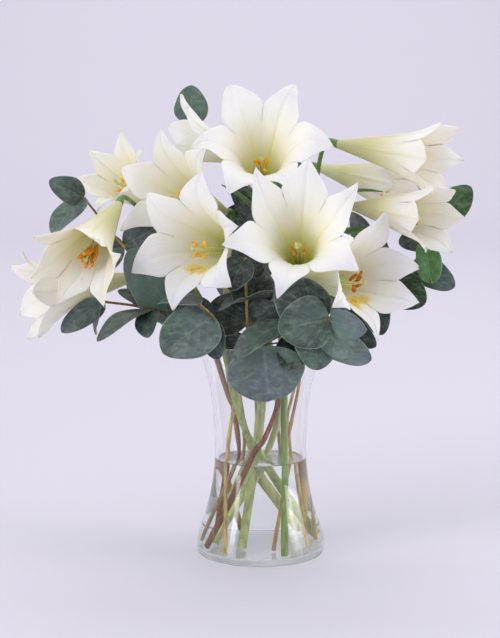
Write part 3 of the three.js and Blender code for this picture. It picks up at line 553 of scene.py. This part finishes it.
def makeStamens(name, bloom, number, place):
    # the six stamens and the pistil, with the same random draw as in the CAD
    look = stamenShape
    seed = number * 31 + 1
    reach = bloom["length"] * bloom["reach"]
    share = reach / look["usualReach"]
    spread = (3 + bloom["open"] * 0.02) * share
    droop = Vector((look["droop"] * share, 0, 0))
    lean = radians(45 if bloom["open"] > 60 else 20)  # the anthers of an open flower lean further out
    length, stigma = bloom["anther"], bloom["stigma"]
    steps, thick = 10, look["antherRadius"] * (0.7 + length * 0.05)
    pieces, anthers = [], []

    def addRod(kind, line, radii, sides, material, tone=0.5):
        pieces.append(rod(kind, [place @ p for p in line], radii, sides, material, tone))

    for k in range(6):
        angle = -radians(bloom["roll"] + 60 * k + 20 * (scatter(seed + k) - 0.5))
        out = Vector((cos(angle), sin(angle), 0))
        height = reach * (0.94 + 0.1 * scatter(seed + k + 7))
        end = out * spread + droop + Vector((0, 0, height))
        swing = Matrix.Rotation(pi * (scatter(seed + k + 13) - 0.5), 3, "Z")
        along = (swing @ out * sin(lean) + Vector((0, 0, cos(lean)))).normalized()
        root = out * 2.2 + Vector((0, 0, 2.6))
        sag = (end - root).lerp(Vector((end.x - root.x, end.y - root.y, 0)), 0.5) * look["sag"]
        line = smoothLine([root, root.lerp(end, 0.35) - sag, root.lerp(end, 0.7) - sag, end], 4)
        radii = [look["filament"] * (1.15 - 0.45 * i / 12) for i in range(13)]
        addRod("filament", line, radii, 8, filamentPale)
        start = end + along * (4.2 * share - length / 2)
        bow = out.cross(along) * look["bow"]
        line, radii = [], []
        for i in range(steps + 1):
            line.append(start + along * length * i / steps + bow * sin(pi * i / steps))
            radii.append(thick * (0.35 + 0.65 * sin(pi * (0.08 + 0.84 * i / steps)) ** 0.5))
        addRod("anther", line, radii, 10, antherRust, bloom["brown"] + 0.3 * (scatter(seed + k + 20) - 0.5))
        anthers += [place @ line[0], place @ line[-1]]
    top = Vector((0, 0, reach + 12)) + droop
    middle = Vector((0, 0, reach * 0.4)) + droop * 0.35
    line = smoothLine([Vector((0, 0, 1.8)), middle, Vector((0, 0, reach + 8)) + droop, top], 5)
    addRod("style", line, [2.2, 1.3] + [1.0] * (len(line) - 4) + [1.5, 2.0], 10, filamentPale)
    for k in range(3):  # the stigma's three lobes
        angle = radians(120 * k + 40)
        lobe = Vector((cos(angle), sin(angle), 0)) * 1.3 * stigma
        line = [top + lobe * a + Vector((0, 0, b)) for a, b in ((0.0, -1.2), (0.6, 0.2), (1.1, 0.9), (1.3, 0.6))]
        addRod("stigma", line, [r * stigma for r in (1.0, 1.5, 1.3, 0.7)], 8, stigmaGreen)
    standFor(joined("stamens_" + name, pieces), "stamens", f"bloom_{name}_stamens")
    return anthers


for number, (name, bloom) in enumerate(blooms.items()):
    place = bloomFrame(bloom)[1]
    anthers = makeStamens(name, bloom, number, place)
    makeBlossom(name, bloom, number, place, anthers)
print("blooms made:", len(blooms))

leafShape = {"thickness": 0.6, "columns": 12, "rows": 20, "bow": 0.08, "fold": 0.12, "ripple": 1.0}
lanceShape = {"thickness": 0.6, "columns": 8, "rows": 26, "bow": 0.16, "fold": 0.35, "ripple": 0.5}
lanceWidths = [(0, 0.2), (0.2, 0.72), (0.5, 1), (0.85, 0.56), (1, 0)]  # place along the blade, share of its width
leafRelief = {"rim": 0.05, "fineRim": 0.03, "cup": 0.14, "waves": 0.6, "midrib": 0.35, "sway": 1.6, "lean": 0.5}
cadLeaf = {"thickness": 0.7, "near": 0.05}

swings = [(0, 0)]  # the lift and sway in degrees that a leaf of the CAD may have taken
for reach in (14, 28, 42, 56):
    swings += [(reach, 0), (-reach, 0), (0, reach), (0, -reach)]
    swings += [(reach, reach / 2), (-reach, reach / 2), (reach, -reach / 2), (-reach, -reach / 2)]


def cadPoints(node):  # the corners of a CAD node, to find where it has its leaves
    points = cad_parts[node].data.vertices
    tree = KDTree(len(points))
    for i, vertex in enumerate(points):
        tree.insert(vertex.co / mm, i)
    tree.balance()
    return tree


def leafFrame(base, tip, face):
    direction = (tip - base).normalized()
    normal = (face - direction * face.dot(direction)).normalized()
    return direction, normal, direction.cross(normal)


def asPlaced(leaf, tree):
    # the swing whose tip is a corner in the CAD is the one that the leaf took; a leaf that isn't there gives None
    base = leaf["base"]
    _, normal, side = leafFrame(base, leaf["tip"], leaf["face"])
    for lift, sway in swings:
        bySide, byNormal = Quaternion(side, -radians(lift)), Quaternion(normal, radians(sway))
        tip = base + byNormal @ (bySide @ (leaf["tip"] - base))
        face = byNormal @ (bySide @ normal)
        up = leafFrame(base, tip, face)[1]
        if tree.find(tip + up * cadLeaf["thickness"] / 2)[2] < cadLeaf["near"]:
            return {**leaf, "tip": tip, "face": face}
    return None


def makeLeaf(leaf, look, materials, seed):
    base, tip, half, relief = leaf["base"], leaf["tip"], leaf["half"], leafRelief
    direction, normal, side = leafFrame(base, tip, leaf["face"])
    length = (tip - base).length
    phase, lean = 6.3 * scatter(seed), relief["lean"] * (scatter(seed + 2) - 0.5)
    ripple = look["ripple"] * half / 20
    cup = relief["cup"] * (scatter(seed + 4) - 0.3)

    def point(u, t):
        if look is leafShape:
            t = (1 - cos(pi * t)) / 2  # closer rows at both ends, for a round outline
            width = half * sin(pi * t**0.8) ** 0.5 if 0 < t < 1 else 0
            width = max(width, 1.0 - 16 * t)
        else:
            width = half * throughPoints(lanceWidths, t)
        ownPhase = phase if u > 0 else 2.3 * phase  # each half has an outline of its own
        rim = relief["rim"] * sin(4 * t + ownPhase)
        u = u * (1 + rim + relief["fineRim"] * sin(9 * t + 2 * ownPhase))
        rise = look["bow"] * length * sin(pi * t) + look["fold"] * width * abs(u) ** 1.3
        rise += ripple * abs(u) ** 2 * sin(7 * t + ownPhase) + cup * half * u * u * (1 - t)
        rise += relief["waves"] * ripple * sin(5 * t + 2 * u + 2 * phase)
        rise -= relief["midrib"] * exp(-((u / 0.08) ** 2))
        bend = relief["sway"] * sin(2.2 * t + phase) * lean
        return base + direction * (length * t) + side * (u * width + bend) + normal * rise

    return sheet("leaf", look, point, materials, leaf["tone"])


petioleShape = {"sides": 8, "radius": 0.85, "end": 0.4, "taper": 0.3, "intoLeaf": 0.1, "tone": 0.3}


def petiole(leaf):  # the stalk of a eucalyptus leaf, which runs a little way under the blade
    look, start, stalk = petioleShape, leaf["base"], leaf["stalk"]
    inside = start.lerp(leaf["tip"], look["intoLeaf"])
    normal = leafFrame(start, leaf["tip"], leaf["face"])[1]
    bow = normal * leafShape["bow"] * (leaf["tip"] - start).length
    line = [*stalk, start, inside + bow * sin(pi * look["intoLeaf"])]
    radii = [look["radius"], look["end"]]
    if stalk:
        line = smoothLine(line, 5)
        radii = [look["radius"] - look["taper"] * i / len(line) for i in range(len(line))]
    return rod("petiole", line, radii, look["sides"], twigBark, look["tone"])


# pedicels: the bloom and the points on the way to it; leaves: the place along the path, the tip and half the width
lilyStems = {
    "centre": {
        "path": [(20, -38, 12), (21, -26, 100), (21, -24, 145), (24, -16, 200), (33, -3, 240)],
        "pedicels": {"centre": []},
        "leaves": [(3.5, (84, 10, 262), 8)],
    },
    "left": {
        "path": [(35, 20, 12), (1, -8, 93), (-12, -20, 115), (-24, -31, 155), (-33, -34, 196), (-55, -18, 240),
                 (-72, -2, 264)],
        "pedicels": {"far_left": [(-88, 34, 292), (-113, 43, 317)], "low_left": []},
    },
    "middle": {
        "path": [(-14, -16, 12), (-2, 6, 100), (3, 9, 145), (8, 14, 200), (8, 42, 240)],
        "pedicels": {"left": [(2, 44, 262)], "low_right": []},
    },
    "top": {
        "path": [(-24, 30, 12), (-4, 22, 100), (-3, 26, 150), (-2, 32, 200), (0, 66, 296)],
        "pedicels": {"top": [], "top_left": [(14, 98, 322)]},
        "leaves": [(3.6, (-14, 6, 338), 12), (3.8, (-52, 30, 330), 7)],
    },
    "left_back": {
        "path": [(22, 38, 12), (-12, 31, 100), (-22, 29, 150), (-30, 30, 200), (-34, 84, 270)],
        "pedicels": {"mid_left": [], "upper_left": [(-60, 118, 285)]},
    },
    "right": {
        "path": [(-34, -4, 12), (10, 18, 100), (22, 21, 150), (30, 24, 200), (52, 64, 310)],
        "pedicels": {"upper_right": [(54, 60, 350)], "right": [], "back_right": [(44, 76, 340)]},
        "leaves": [(3.9, (112, 8, 336), 5), (3.6, (107, 20, 298), 9)],
    },
}
lilyTones = {"centre": 0.05, "left": 0.35, "middle": 0.55, "top": 0.8, "left_back": 0.9, "right": 0.7}
lilyStem = {"radius": 3.3, "top": 2.6, "knots": 0.35, "sides": 14, "leafFace": Vector((0, -0.4, 1))}
twig = {"radius": 1.7, "top": 1.1, "knots": 0.45, "sides": 12, "leafFace": Vector((0, -1, 0.3))}
pedicelShape = {"radius": 2.1, "sides": 14, "tone": 0.1, "cup": 2.0, "straight": 14, "joint": 0.5, "into": 2.2}
floorHeight = 5  # of the vase, inside
standingOn = {"clearance": 0.3, "gap": 0.2}


def standing(path, radius):
    first, second = Vector(path[0]), Vector(path[1])
    slant = (second - first).normalized()
    height = floorHeight + standingOn["clearance"] + standingOn["gap"] + radius * sqrt(1 - slant.z**2)
    return [Vector((first.x, first.y, height))] + [Vector(p) for p in path[1:]]


def makeStem(name, look, route, radius, nodesAt, material, tone):
    steps, knotLength = 8, 0.045
    line = smoothLine(route, steps)
    last = len(line) - 1
    radii = []
    for i in range(len(line)):
        knot = sum(exp(-(((i / steps - n) / knotLength) ** 2)) for n in nodesAt)
        plain = (radius + (look["top"] - radius) * i / last) * (1 + 0.03 * sin(i * 1.7))
        radii.append(plain + look["knots"] * min(knot, 1))
    return rod(name, line, radii, look["sides"], material, tone)


def makePedicel(start, through, bloom):
    look = pedicelShape
    axis = bloomFrame(bloom)[0]
    end = Vector(bloom["base"]) - axis * standingOn["clearance"]
    line = smoothLine([start, *map(Vector, through), end - axis * look["straight"], end], 8)
    radii = []
    for p in line:
        radius = look["radius"] + look["cup"] * smooth(look["straight"], 0, (p - end).length)
        radii.append(radius + look["joint"] * smooth(8, 0, (p - line[0]).length))
    line.append(end + axis * look["into"])
    radii.append(radii[-1] + 0.2)
    return rod("pedicel", line, radii, look["sides"], lilyGreen, look["tone"])


for number, (name, stem) in enumerate(lilyStems.items()):
    route = standing(stem["path"], lilyStem["radius"])
    nodesAt = [0.8 + 0.45 * k for k in range(8)]
    green = [makeStem("stem", lilyStem, route, lilyStem["radius"], nodesAt, lilyGreen, lilyTones[name])]
    for bloomName, through in stem["pedicels"].items():
        green.append(makePedicel(pointOn(route, len(route) - 1), through, blooms[bloomName]))
    tree = cadPoints(f"lily_stem_{name}")
    blades = []
    for k, (at, tip, half) in enumerate(stem.get("leaves", [])):
        leaf = {"base": pointOn(stem["path"], at), "tip": Vector(tip), "half": half, "face": lilyStem["leafFace"]}
        placed = asPlaced({**leaf, "tone": 0.3 + 0.4 * scatter(k + number)}, tree)
        if placed:
            blades.append(makeLeaf(placed, lanceShape, (lanceTop, lanceUnder), number * 5 + k))
    if blades:
        blade = joined("blades", blades)
        thicken(blade, lanceShape["thickness"])
        green.append(blade)
    standFor(joined("lilyStem_" + name, green), "lily_green", f"lily_stem_{name}")
print("lily stems made:", len(lilyStems))

# leaves: the place along the path, tip, half width, tilt in degrees and tone, then the points of a long stalk if it
# has one; a tone runs from 0, dark, to 1, pale, and from 1 to 2 for the green ones. All these tones, those of the
# pairs as well, are partly the leaves' own colour and partly painted shade and light: leaves that lie in shade
# under the blooms are given dark tones, and lit ones pale tones
sprays = {
    "front_right": {
        "radius": 3,
        "path": [(-43, -12, 12), (-9, -35, 95), (3, -34, 114), (15, -30, 145), (26, -40, 196), (44, -60, 216),
                 (60, -78, 230)],
        "leaves": [(6, (15, -84, 222), 23, 0, 0.38), (6, (94, -74, 229), 15, 40, 0.85),
                   (5.6, (25, -62, 270), 23, 0, 0.22), (5.6, (84, -64, 198), 18, 10, 0.75),
                   (5.1, (50, -72, 184), 19, -10, 0.45), (5.1, (98, -56, 190), 15, 15, 0.85),
                   (4.7, (21, -74, 189), 17, 0, 0.08),
                   (4.5, (8, -66, 152), 35, 0, 0.64, (26, -58, 207), (2, -63, 205))],
    },
    "centre": {
        "radius": 2,
        "path": [(-30, -36, 12), (-30, -19, 91), (-25, -14, 136), (-14, -34, 188), (-12, -42, 208),
                 (-13, -48, 243), (-14, -60, 282)],
        "leaves": [(6, (-34, -66, 258), 14, 10, 0.15), (5, (-38, -56, 234), 16, 76, 0.1),
                   (5, (10, -50, 252), 16, 76, 0.05), (4.4, (-50, -36, 236), 20, 0, 0.05),
                   (4.4, (18, -52, 246), 20, 0, 0.1),
                   (4, (-24, -74, 196), 13, 30, 0.3, (4, -56, 208), (20, -62, 225)),
                   (4, (-40, -52, 190), 14, 0, 0.1), (4.7, (-2, -20, 270), 20, 0, 0.0),
                   (5.4, (-4, -22, 312), 17, 0, 0.05)],
    },
    "left_front": {
        "path": [(-42, 8, 12), (-15, 0, 100), (-31, -5, 150), (-45, -14, 198), (-47, -40, 216), (-43, -60, 230),
                 (-54, -70, 242)],
        "leaves": [(5, (-86, -80, 200), 25, 0, 0.5), (4.5, (-38, -64, 192), 12, 20, 0.3),
                   (6, (-98, -66, 236), 15, 65, 0.45), (4, (-74, -30, 250), 20, 0, 0.2),
                   (4, (-40, -16, 247), 16, 0, 0.1)],
    },
    "low_left": {
        "path": [(-28, 20, 12), (-20, 12, 100), (-31, 9, 150), (-47, 6, 198), (-78, -16, 222), (-107, -28, 234),
                 (-143, -20, 238)],
        "leaves": [(4.8, (-145, -60, 208), 14, 55, 0.3), (4.8, (-101, -52, 210), 12, 20, 0.25),
                   (6, (-150, -20, 208), 14, 70, 0.15), (6, (-176, -16, 204), 12, 10, 0.35),
                   (4, (-118, -22, 286), 24, 0, 1.0), (4, (-84, 14, 206), 18, 0, 0.15),
                   (4.4, (-60, -4, 262), 20, 0, 0.1), (4.6, (-130, -10, 247), 8, 30, 0.1)],
    },
    "upper_left": {
        "path": [(-10, 41, 12), (-22, 26, 100), (-30, 24, 150), (-38, 22, 198), (-80, 40, 240), (-128, 44, 282),
                 (-164, 34, 328)],
        "leaves": [(6, (-194, 14, 345), 12, 0, 0.35), (6, (-191, 8, 297), 14, 30, 0.55),
                   (5, (-103, 8, 304), 14, 0, 0.3), (5, (-168, 60, 266), 18, 0, 0.25),
                   (4.4, (-90, 70, 280), 20, 0, 0.1), (4.4, (-116, 22, 228), 20, 0, 0.15)],
    },
    "right": {
        "path": [(10, -20, 12), (24, -6, 100), (34, -2, 150), (45, 2, 198), (92, 4, 232), (138, 2, 268),
                 (163, 8, 309)],
        "leaves": [(6, (187, 2, 344), 15, 0, 1.3), (5.6, (126, -4, 290), 12, 0, 0.2),
                   (5, (150, -26, 297), 12, 0, 1.85, (154, -20, 255)), (5.1, (177, -8, 250), 14, 25, 0.45),
                   (4.6, (150, -14, 236), 18, 25, 1.05), (4.2, (112, -8, 206), 14, 20, 0.25),
                   (4.2, (74, 12, 270), 18, 0, 0.1), (3.7, (104, -30, 198), 13, 30, 0.15),
                   (4.3, (104, 8, 304), 14, 0, 0.1)],
    },
    "top": {
        "path": [(38, 10, 12), (28, 22, 100), (22, 31, 150), (18, 46, 198), (8, 128, 290), (-24, 158, 350),
                 (-69, 146, 393)],
        "leaves": [(6, (-66, 138, 430), 17, 0, 0.6), (5, (20, 148, 378), 18, 0, 0.25),
                   (4, (-27, 60, 338), 16, 0, 0.1), (4, (39, 120, 356), 16, 0, 0.5),
                   (4, (-36, 122, 306), 20, 0, 0.1), (3.6, (-22, 70, 290), 20, 0, 0.05)],
    },
    "back": {
        "path": [(27, 26, 12), (18, 30, 100), (14, 38, 150), (8, 46, 198), (-14, 92, 240), (-50, 132, 262),
                 (-92, 152, 266)],
        "pairs": [0.15, 0.3, 0.1, 0.2, 0.1, 0.25],
    },
    "back_right": {
        "path": [(36, -8, 12), (23, 5, 100), (31, 11, 150), (47, 20, 198), (72, 84, 244), (104, 112, 282),
                 (140, 116, 330)],
        "pairs": [0.1, 0.25, 0.2, 0.1, 0.3, 0.15],
    },
}
twigTones = {
    "centre": 0.9, "left_front": 0.4, "top": 0.6, "right": 0.5, "back": 0.7, "back_right": 0.7, "upper_left": 0.5,
}
pairShape = {"from": 3.6, "to": 6, "length": 46}


def pairedLeaves(route, tones, seed):
    look, last = pairShape, len(route) - 1
    step, count = 0.0001 * last, len(tones) // 2
    leaves = []
    for i, tone in enumerate(tones):
        level = i // 2
        at = look["from"] + (look["to"] - look["from"]) * level / (count - 1)
        base = pointOn(route, at)
        ahead, behind = min(at + step, last), max(at - step, 0)
        forward = (pointOn(route, ahead) - pointOn(route, behind)).normalized()
        sideways = forward.cross(Vector((0, 0, 1))).normalized()
        angle = pi * (level / 2 + i % 2) + 0.5 * (scatter(seed + i) - 0.5) + 0.4
        out = Quaternion(forward, angle) @ sideways
        size = look["length"] * (1 - 0.3 * level / count) * (0.92 + 0.16 * scatter(seed + i + 50))
        tip = base + (out * 0.9 + forward * 0.4).normalized() * size
        face = forward - out * 0.4
        leaves.append({"base": base, "tip": tip, "half": size * 0.46, "face": face, "tone": tone, "stalk": []})
    return leaves


leafCount = 0
for number, (name, spray) in enumerate(sprays.items()):
    thick = spray.get("radius", twig["radius"])
    route = standing(spray["path"], thick)
    tree = cadPoints(f"eucalyptus_{name}")
    leaves = pairedLeaves(route, spray.get("pairs", []), number * 17)
    nodesAt = {1.4, 2.2, 3.0}
    for at, tip, half, tilt, tone, *stalk in spray.get("leaves", []):
        nodesAt.add(at)
        stalk = [Vector(p) for p in stalk]
        base = stalk[-1] if stalk else pointOn(route, at)
        along = (Vector(tip) - base).normalized()
        leaves.append({
            "base": base, "tip": Vector(tip), "half": half, "tone": tone,
            "face": Quaternion(along, radians(tilt)) @ twig["leafFace"],
            "stalk": [pointOn(route, at), *stalk[:-1]] if stalk else [],
        })
    woody = [makeStem("twig", twig, route, thick, sorted(nodesAt), twigBark, twigTones.get(name, 0))]
    blades = []
    for k, leaf in enumerate(leaves):
        placed = asPlaced(leaf, tree)
        if placed:
            blades.append(makeLeaf(placed, leafShape, (leafTop, leafUnder), number * 13 + k))
            woody.append(petiole(placed))
    leafCount += len(blades)
    blade = joined("blades", blades)
    thicken(blade, leafShape["thickness"])
    standFor(joined("eucalyptus_" + name + "_spray", [blade, *woody]), "eucalyptus", f"eucalyptus_{name}")
print("eucalyptus leaves made:", leafCount)

# profiles as (radius, height) in mm
vaseOutside = [
    (60, 8), (58.6, 17), (54.8, 29), (49.3, 46), (44.8, 68), (42.5, 90), (42.6, 112), (44.9, 144), (49.6, 168),
    (58, 199),
]
vaseInside = [
    (55.2, 199), (46.8, 168), (42.1, 144), (39.8, 112), (39.6, 90), (41.9, 68), (46.2, 46), (51.4, 29),
    (54.4, 17), (55, 10),
]
vaseShape = {"sides": 96, "ringStep": 4, "waterLevel": 89, "sharpAbove": 40, "weldDistance": 0.00001}


def softened(profile):  # the profile as a smooth line of short steps
    line = []
    for i in range(len(profile) - 1):
        count = max(1, round(dist(profile[i], profile[i + 1]) / vaseShape["ringStep"]))
        for k in range(count):
            line.append(pointOn([(*p, 0) for p in profile], i + k / count)[:2])
    return line + [profile[-1]]


def turned(name, profile, material):
    # a round body: a disc, grown ring by ring along its profile and closed with a disc at the end
    radius, height = profile[0]
    bpy.ops.mesh.primitive_circle_add(
        vertices=vaseShape["sides"], radius=radius * mm, fill_type="TRIFAN", location=(0, 0, height * mm)
    )
    piece = bpy.context.object
    bpy.ops.object.transform_apply(location=True)
    mode("EDIT")
    bpy.ops.mesh.select_all(action="SELECT")
    bpy.ops.mesh.region_to_loop()
    for radiusNow, heightNow in profile[1:]:
        lift = {"value": (0, 0, (heightNow - height) * mm)}
        bpy.ops.mesh.extrude_edges_move(TRANSFORM_OT_translate=lift)
        scale = radiusNow / radius
        bpy.ops.transform.resize(value=(scale, scale, 1), center_override=(0, 0, heightNow * mm))
        radius, height = radiusNow, heightNow
    bpy.ops.mesh.edge_face_add()
    bpy.ops.mesh.select_all(action="SELECT")
    bpy.ops.mesh.remove_doubles(threshold=vaseShape["weldDistance"])
    bpy.ops.mesh.normals_make_consistent(inside=False)
    mode("OBJECT")
    piece.name = piece.data.name = name
    piece.data.materials.append(material)
    bpy.ops.object.shade_smooth_by_angle(angle=radians(vaseShape["sharpAbove"]))
    return piece


clear = {"Transmission Weight": 1.0, "Roughness": 0.0}
glass = Finish("clear glass", IOR=1.5, **clear, **{"Base Color": (0.99, 1.0, 0.995, 1)})
glass.bump(glass.noise((9, 9, 22), 2), 0.0002, 0.25)
glass.rough(glass.noise(18, 4), 0.0, 0.04, 0.5, 0.9)  # faint smears
glass.lettingLampsThrough((0.93, 0.95, 0.94, 1))
waterLook = Finish("water", IOR=1.333, **clear, **{"Base Color": (0.985, 0.995, 0.985, 1)})
waterLook.bump(waterLook.noise(22, 2), 0.0004, 0.15)
waterLook.lettingLampsThrough((0.97, 0.98, 0.97, 1))

outside, inside = softened(vaseOutside), softened(vaseInside)
rim = [(57.6, 200.1), (56.8, 200.5), (56.0, 200.1)]
floorCurve = [(54.5, 7.6), (52.3, 5.7), (49, floorHeight)]
middle = 20  # radius of the flat discs that close the floor and the foot
footZ = -0.02  # just below the floor, so that no dark film of air shows under the glass
bottom = [(50, footZ), (55.6, footZ), (57, 0.4), (58.1, 1.2), (58.7, 2.3), (58.9, 4)]
wall = bottom + outside + rim + inside + floorCurve
vase = turned("vaseGlass", [(middle, footZ)] + wall + [(middle, floorHeight - 0.3)], glass.material)
standFor(vase, "glass", "vase")

level = vaseShape["waterLevel"]
overlap = 0.2  # the water runs a hair into the glass, so that no air shows between them
edge = throughPoints([(z, r) for r, z in reversed(inside)], level)
waterWall = [(r + overlap, z) for r, z in reversed(inside) if z < level - 2]
meniscus = [(edge + overlap, level + 1.2), (edge - 0.6, level + 0.5), (edge - 2, level + 0.1), (edge - 4, level)]
floorWater = [(middle, floorHeight - 0.5), (49, floorHeight - 0.2), (52.4, 5.5), (54.7, 7.5)]
water = turned("waterBody", floorWater + waterWall + meniscus + [(10, level)], waterLook.material)
standFor(water, "water", "water")
print("vase and water made")

floorShape = {"size": 8, "forward": 1, "steps": 8, "step": 0.25, "wall": 4}
bpy.ops.mesh.primitive_plane_add(size=floorShape["size"], location=(0, -floorShape["forward"], 0))
floor = bpy.context.object
floor.name = "studioFloor"
mode("EDIT")
bpy.ops.mesh.select_all(action="DESELECT")
mode("OBJECT")
for floorEdge in floor.data.edges:
    floorEdge.select = all(floor.data.vertices[i].co.y > 0 for i in floorEdge.vertices)
mode("EDIT")
bpy.ops.mesh.select_mode(type="EDGE")
for k in range(floorShape["steps"]):  # the floor bends up behind into a plain wall
    angle, step = radians(90 * (k + 1) / floorShape["steps"]), floorShape["step"]
    rise = {"value": (0, step * cos(angle), step * sin(angle))}
    bpy.ops.mesh.extrude_edges_move(TRANSFORM_OT_translate=rise)
bpy.ops.mesh.extrude_edges_move(TRANSFORM_OT_translate={"value": (0, 0, floorShape["wall"])})
mode("OBJECT")
bpy.ops.object.shade_smooth()
paint = {"Base Color": rgb(216, 213, 225), "Roughness": 0.7}
floor.data.materials.append(Finish("plain studio floor", 0.2, **paint).material)

lamps = {  # power, width, height, place, and the point that it faces
    "keyLight": (14, 1.2, 1.2, (-1.4, -1.3, 1.5), (0, 0, 0.25)),
    "fillLight": (19, 1.5, 1.5, (2.0, -0.4, 0.8), (0, 0, 0.25)),
    "topLight": (7, 1.8, 1.8, (0.1, 0.5, 1.9), (0, 0, 0.3)),
    "wallLight": (46, 2.4, 2.4, (0, 2.2, 3.2), (0, 4.2, 0.4)),
    "leftStrip": (2.5, 0.25, 1.0, (-1.0, -0.7, 0.5), (0, 0, 0.2)),
    "rightStrip": (1.25, 0.2, 0.8, (1.1, -0.4, 0.5), (0, 0, 0.2)),
}
for name, (power, width, height, place, target) in lamps.items():
    light = bpy.data.lights.new(name, "AREA")
    light.shape = "RECTANGLE"
    light.energy, light.size, light.size_y = power, width, height
    lamp = bpy.data.objects.new(name, light)
    lamp.location = place
    lamp.rotation_euler = (Vector(target) - Vector(place)).to_track_quat("-Z", "Y").to_euler()
    bpy.context.collection.objects.link(lamp)

air = {"colour": (0.97, 0.96, 1.0, 1), "power": 0.6}
world = bpy.data.worlds.new("studio air")
bpy.context.scene.world = world
world.use_nodes = True
sky = world.node_tree.nodes["Background"].inputs
sky[0].default_value, sky[1].default_value = air["colour"], air["power"]
bpy.context.scene.view_settings.view_transform = "Standard"

view = {"place": (-0.0098, -1.7, 0.46), "tilt": 81.94, "focal": 105.4, "sensor": 36}
camera = bpy.data.objects.new("camera", bpy.data.cameras.new("camera"))
camera.data.lens = view["focal"]
camera.data.sensor_width = view["sensor"]
camera.location = view["place"]
camera.rotation_euler = (radians(view["tilt"]), 0, 0)
bpy.context.collection.objects.link(camera)
bpy.context.scene.camera = camera
print("studio ready")
